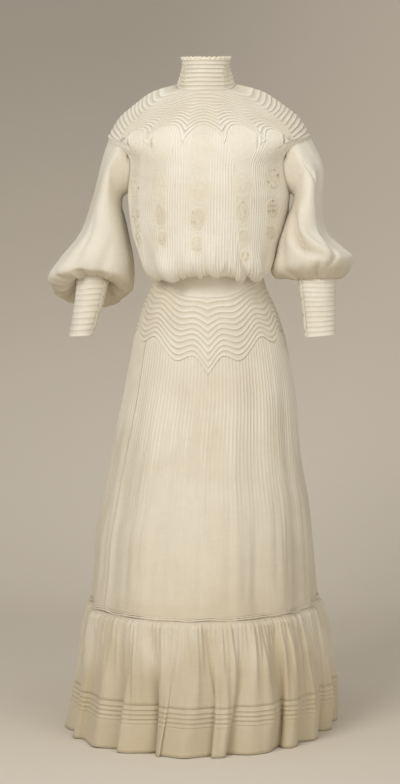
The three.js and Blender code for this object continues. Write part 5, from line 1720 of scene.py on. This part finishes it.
class DRESS_OT_collar(Operator):
    """Make the tucked standing collar"""

    bl_idname = "dress.collar"
    bl_label = "Collar"

    def execute(self, context):
        make_collar(settings_of(context))
        return {"FINISHED"}


class DRESS_OT_collar_frill(Operator):
    """Make the gathered lace frill on the collar"""

    bl_idname = "dress.collar_frill"
    bl_label = "Collar frill"

    def execute(self, context):
        make_collar_frill(settings_of(context))
        return {"FINISHED"}


class DRESS_OT_collar_lace(Operator):
    """Make the two lace triangles on the collar"""

    bl_idname = "dress.collar_lace"
    bl_label = "Collar lace"

    def execute(self, context):
        make_collar_lace(settings_of(context))
        return {"FINISHED"}


class DRESS_OT_yoke(Operator):
    """Make the scalloped tucked yoke, front and back"""

    bl_idname = "dress.yoke"
    bl_label = "Yoke"

    def execute(self, context):
        make_yoke(settings_of(context))
        return {"FINISHED"}


class DRESS_OT_medallions(Operator):
    """Make the oval lace wheels of the bodice front"""

    bl_idname = "dress.medallions"
    bl_label = "Lace medallions"

    def execute(self, context):
        make_medallions(settings_of(context))
        return {"FINISHED"}


class DRESS_OT_bodice(Operator):
    """Make the pintucked bodice, front and back"""

    bl_idname = "dress.bodice"
    bl_label = "Bodice"

    def execute(self, context):
        make_bodice_front(settings_of(context))
        make_bodice_backs(settings_of(context))
        return {"FINISHED"}


class DRESS_OT_back_placket(Operator):
    """Make the lapped strip of the back closing"""

    bl_idname = "dress.back_placket"
    bl_label = "Back placket"

    def execute(self, context):
        make_back_placket(settings_of(context))
        return {"FINISHED"}


class DRESS_OT_sleeves(Operator):
    """Make the two bishop sleeves"""

    bl_idname = "dress.sleeves"
    bl_label = "Sleeves"

    def execute(self, context):
        make_sleeves(settings_of(context))
        return {"FINISHED"}


class DRESS_OT_cuffs(Operator):
    """Make the two tucked cuffs"""

    bl_idname = "dress.cuffs"
    bl_label = "Cuffs"

    def execute(self, context):
        make_cuffs(settings_of(context))
        return {"FINISHED"}


class DRESS_OT_cuff_fastenings(Operator):
    """Make the cuff plackets and their buttons"""

    bl_idname = "dress.cuff_fastenings"
    bl_label = "Cuff fastenings"

    def execute(self, context):
        make_cuff_fastenings(settings_of(context))
        return {"FINISHED"}


class DRESS_OT_waist_panel(Operator):
    """Make the plain panel under the blouse"""

    bl_idname = "dress.waist_panel"
    bl_label = "Waist panel"

    def execute(self, context):
        make_waist_panel(settings_of(context))
        return {"FINISHED"}


class DRESS_OT_hip_yoke(Operator):
    """Make the waved tucks of the hip yoke"""

    bl_idname = "dress.hip_yoke"
    bl_label = "Hip yoke"

    def execute(self, context):
        make_hip_yoke(settings_of(context))
        return {"FINISHED"}


class DRESS_OT_skirt(Operator):
    """Make the pintucked skirt's five gores"""

    bl_idname = "dress.skirt"
    bl_label = "Skirt"

    def execute(self, context):
        make_skirt(settings_of(context))
        return {"FINISHED"}


class DRESS_OT_flounce_cord(Operator):
    """Make the corded heading of the flounce"""

    bl_idname = "dress.flounce_cord"
    bl_label = "Flounce cord"

    def execute(self, context):
        make_flounce_cord(settings_of(context))
        return {"FINISHED"}


class DRESS_OT_flounce(Operator):
    """Make the gathered flounce and its tucked hem"""

    bl_idname = "dress.flounce"
    bl_label = "Flounce"

    def execute(self, context):
        make_flounce(settings_of(context))
        return {"FINISHED"}


STEPS = (
    DRESS_OT_stage, DRESS_OT_collar, DRESS_OT_collar_frill, DRESS_OT_collar_lace, DRESS_OT_yoke,
    DRESS_OT_medallions, DRESS_OT_bodice, DRESS_OT_back_placket, DRESS_OT_sleeves, DRESS_OT_cuffs,
    DRESS_OT_cuff_fastenings, DRESS_OT_waist_panel, DRESS_OT_hip_yoke, DRESS_OT_skirt,
    DRESS_OT_flounce_cord, DRESS_OT_flounce,
)


class DRESS_PT_panel(Panel):
    """Lists the dress's settings and its pieces in the order in which they are made"""

    bl_idname = "DRESS_PT_panel"
    bl_label = "Day Dress"
    bl_space_type = "VIEW_3D"
    bl_region_type = "UI"
    bl_category = "Dress"

    def draw(self, context):
        layout = self.layout
        for name in DayDressSettings.__annotations__:
            layout.prop(settings_of(context), name)
        for step in STEPS:
            layout.operator(step.bl_idname)


CLASSES = (DayDressSettings, *STEPS, DRESS_PT_panel)


def register():
    """Registers the classes and the settings."""
    for cls in CLASSES:
        bpy.utils.register_class(cls)
    bpy.types.Scene.day_dress = PointerProperty(type=DayDressSettings)


def unregister():
    """Takes the settings and the classes away again."""
    del bpy.types.Scene.day_dress
    for cls in reversed(CLASSES):
        bpy.utils.unregister_class(cls)


def main():
    """Makes the dress piece by piece."""
    register()
    for step in STEPS:
        group, name = step.bl_idname.split(".")
        getattr(getattr(bpy.ops, group), name)()


if __name__ == "__main__":
    main()
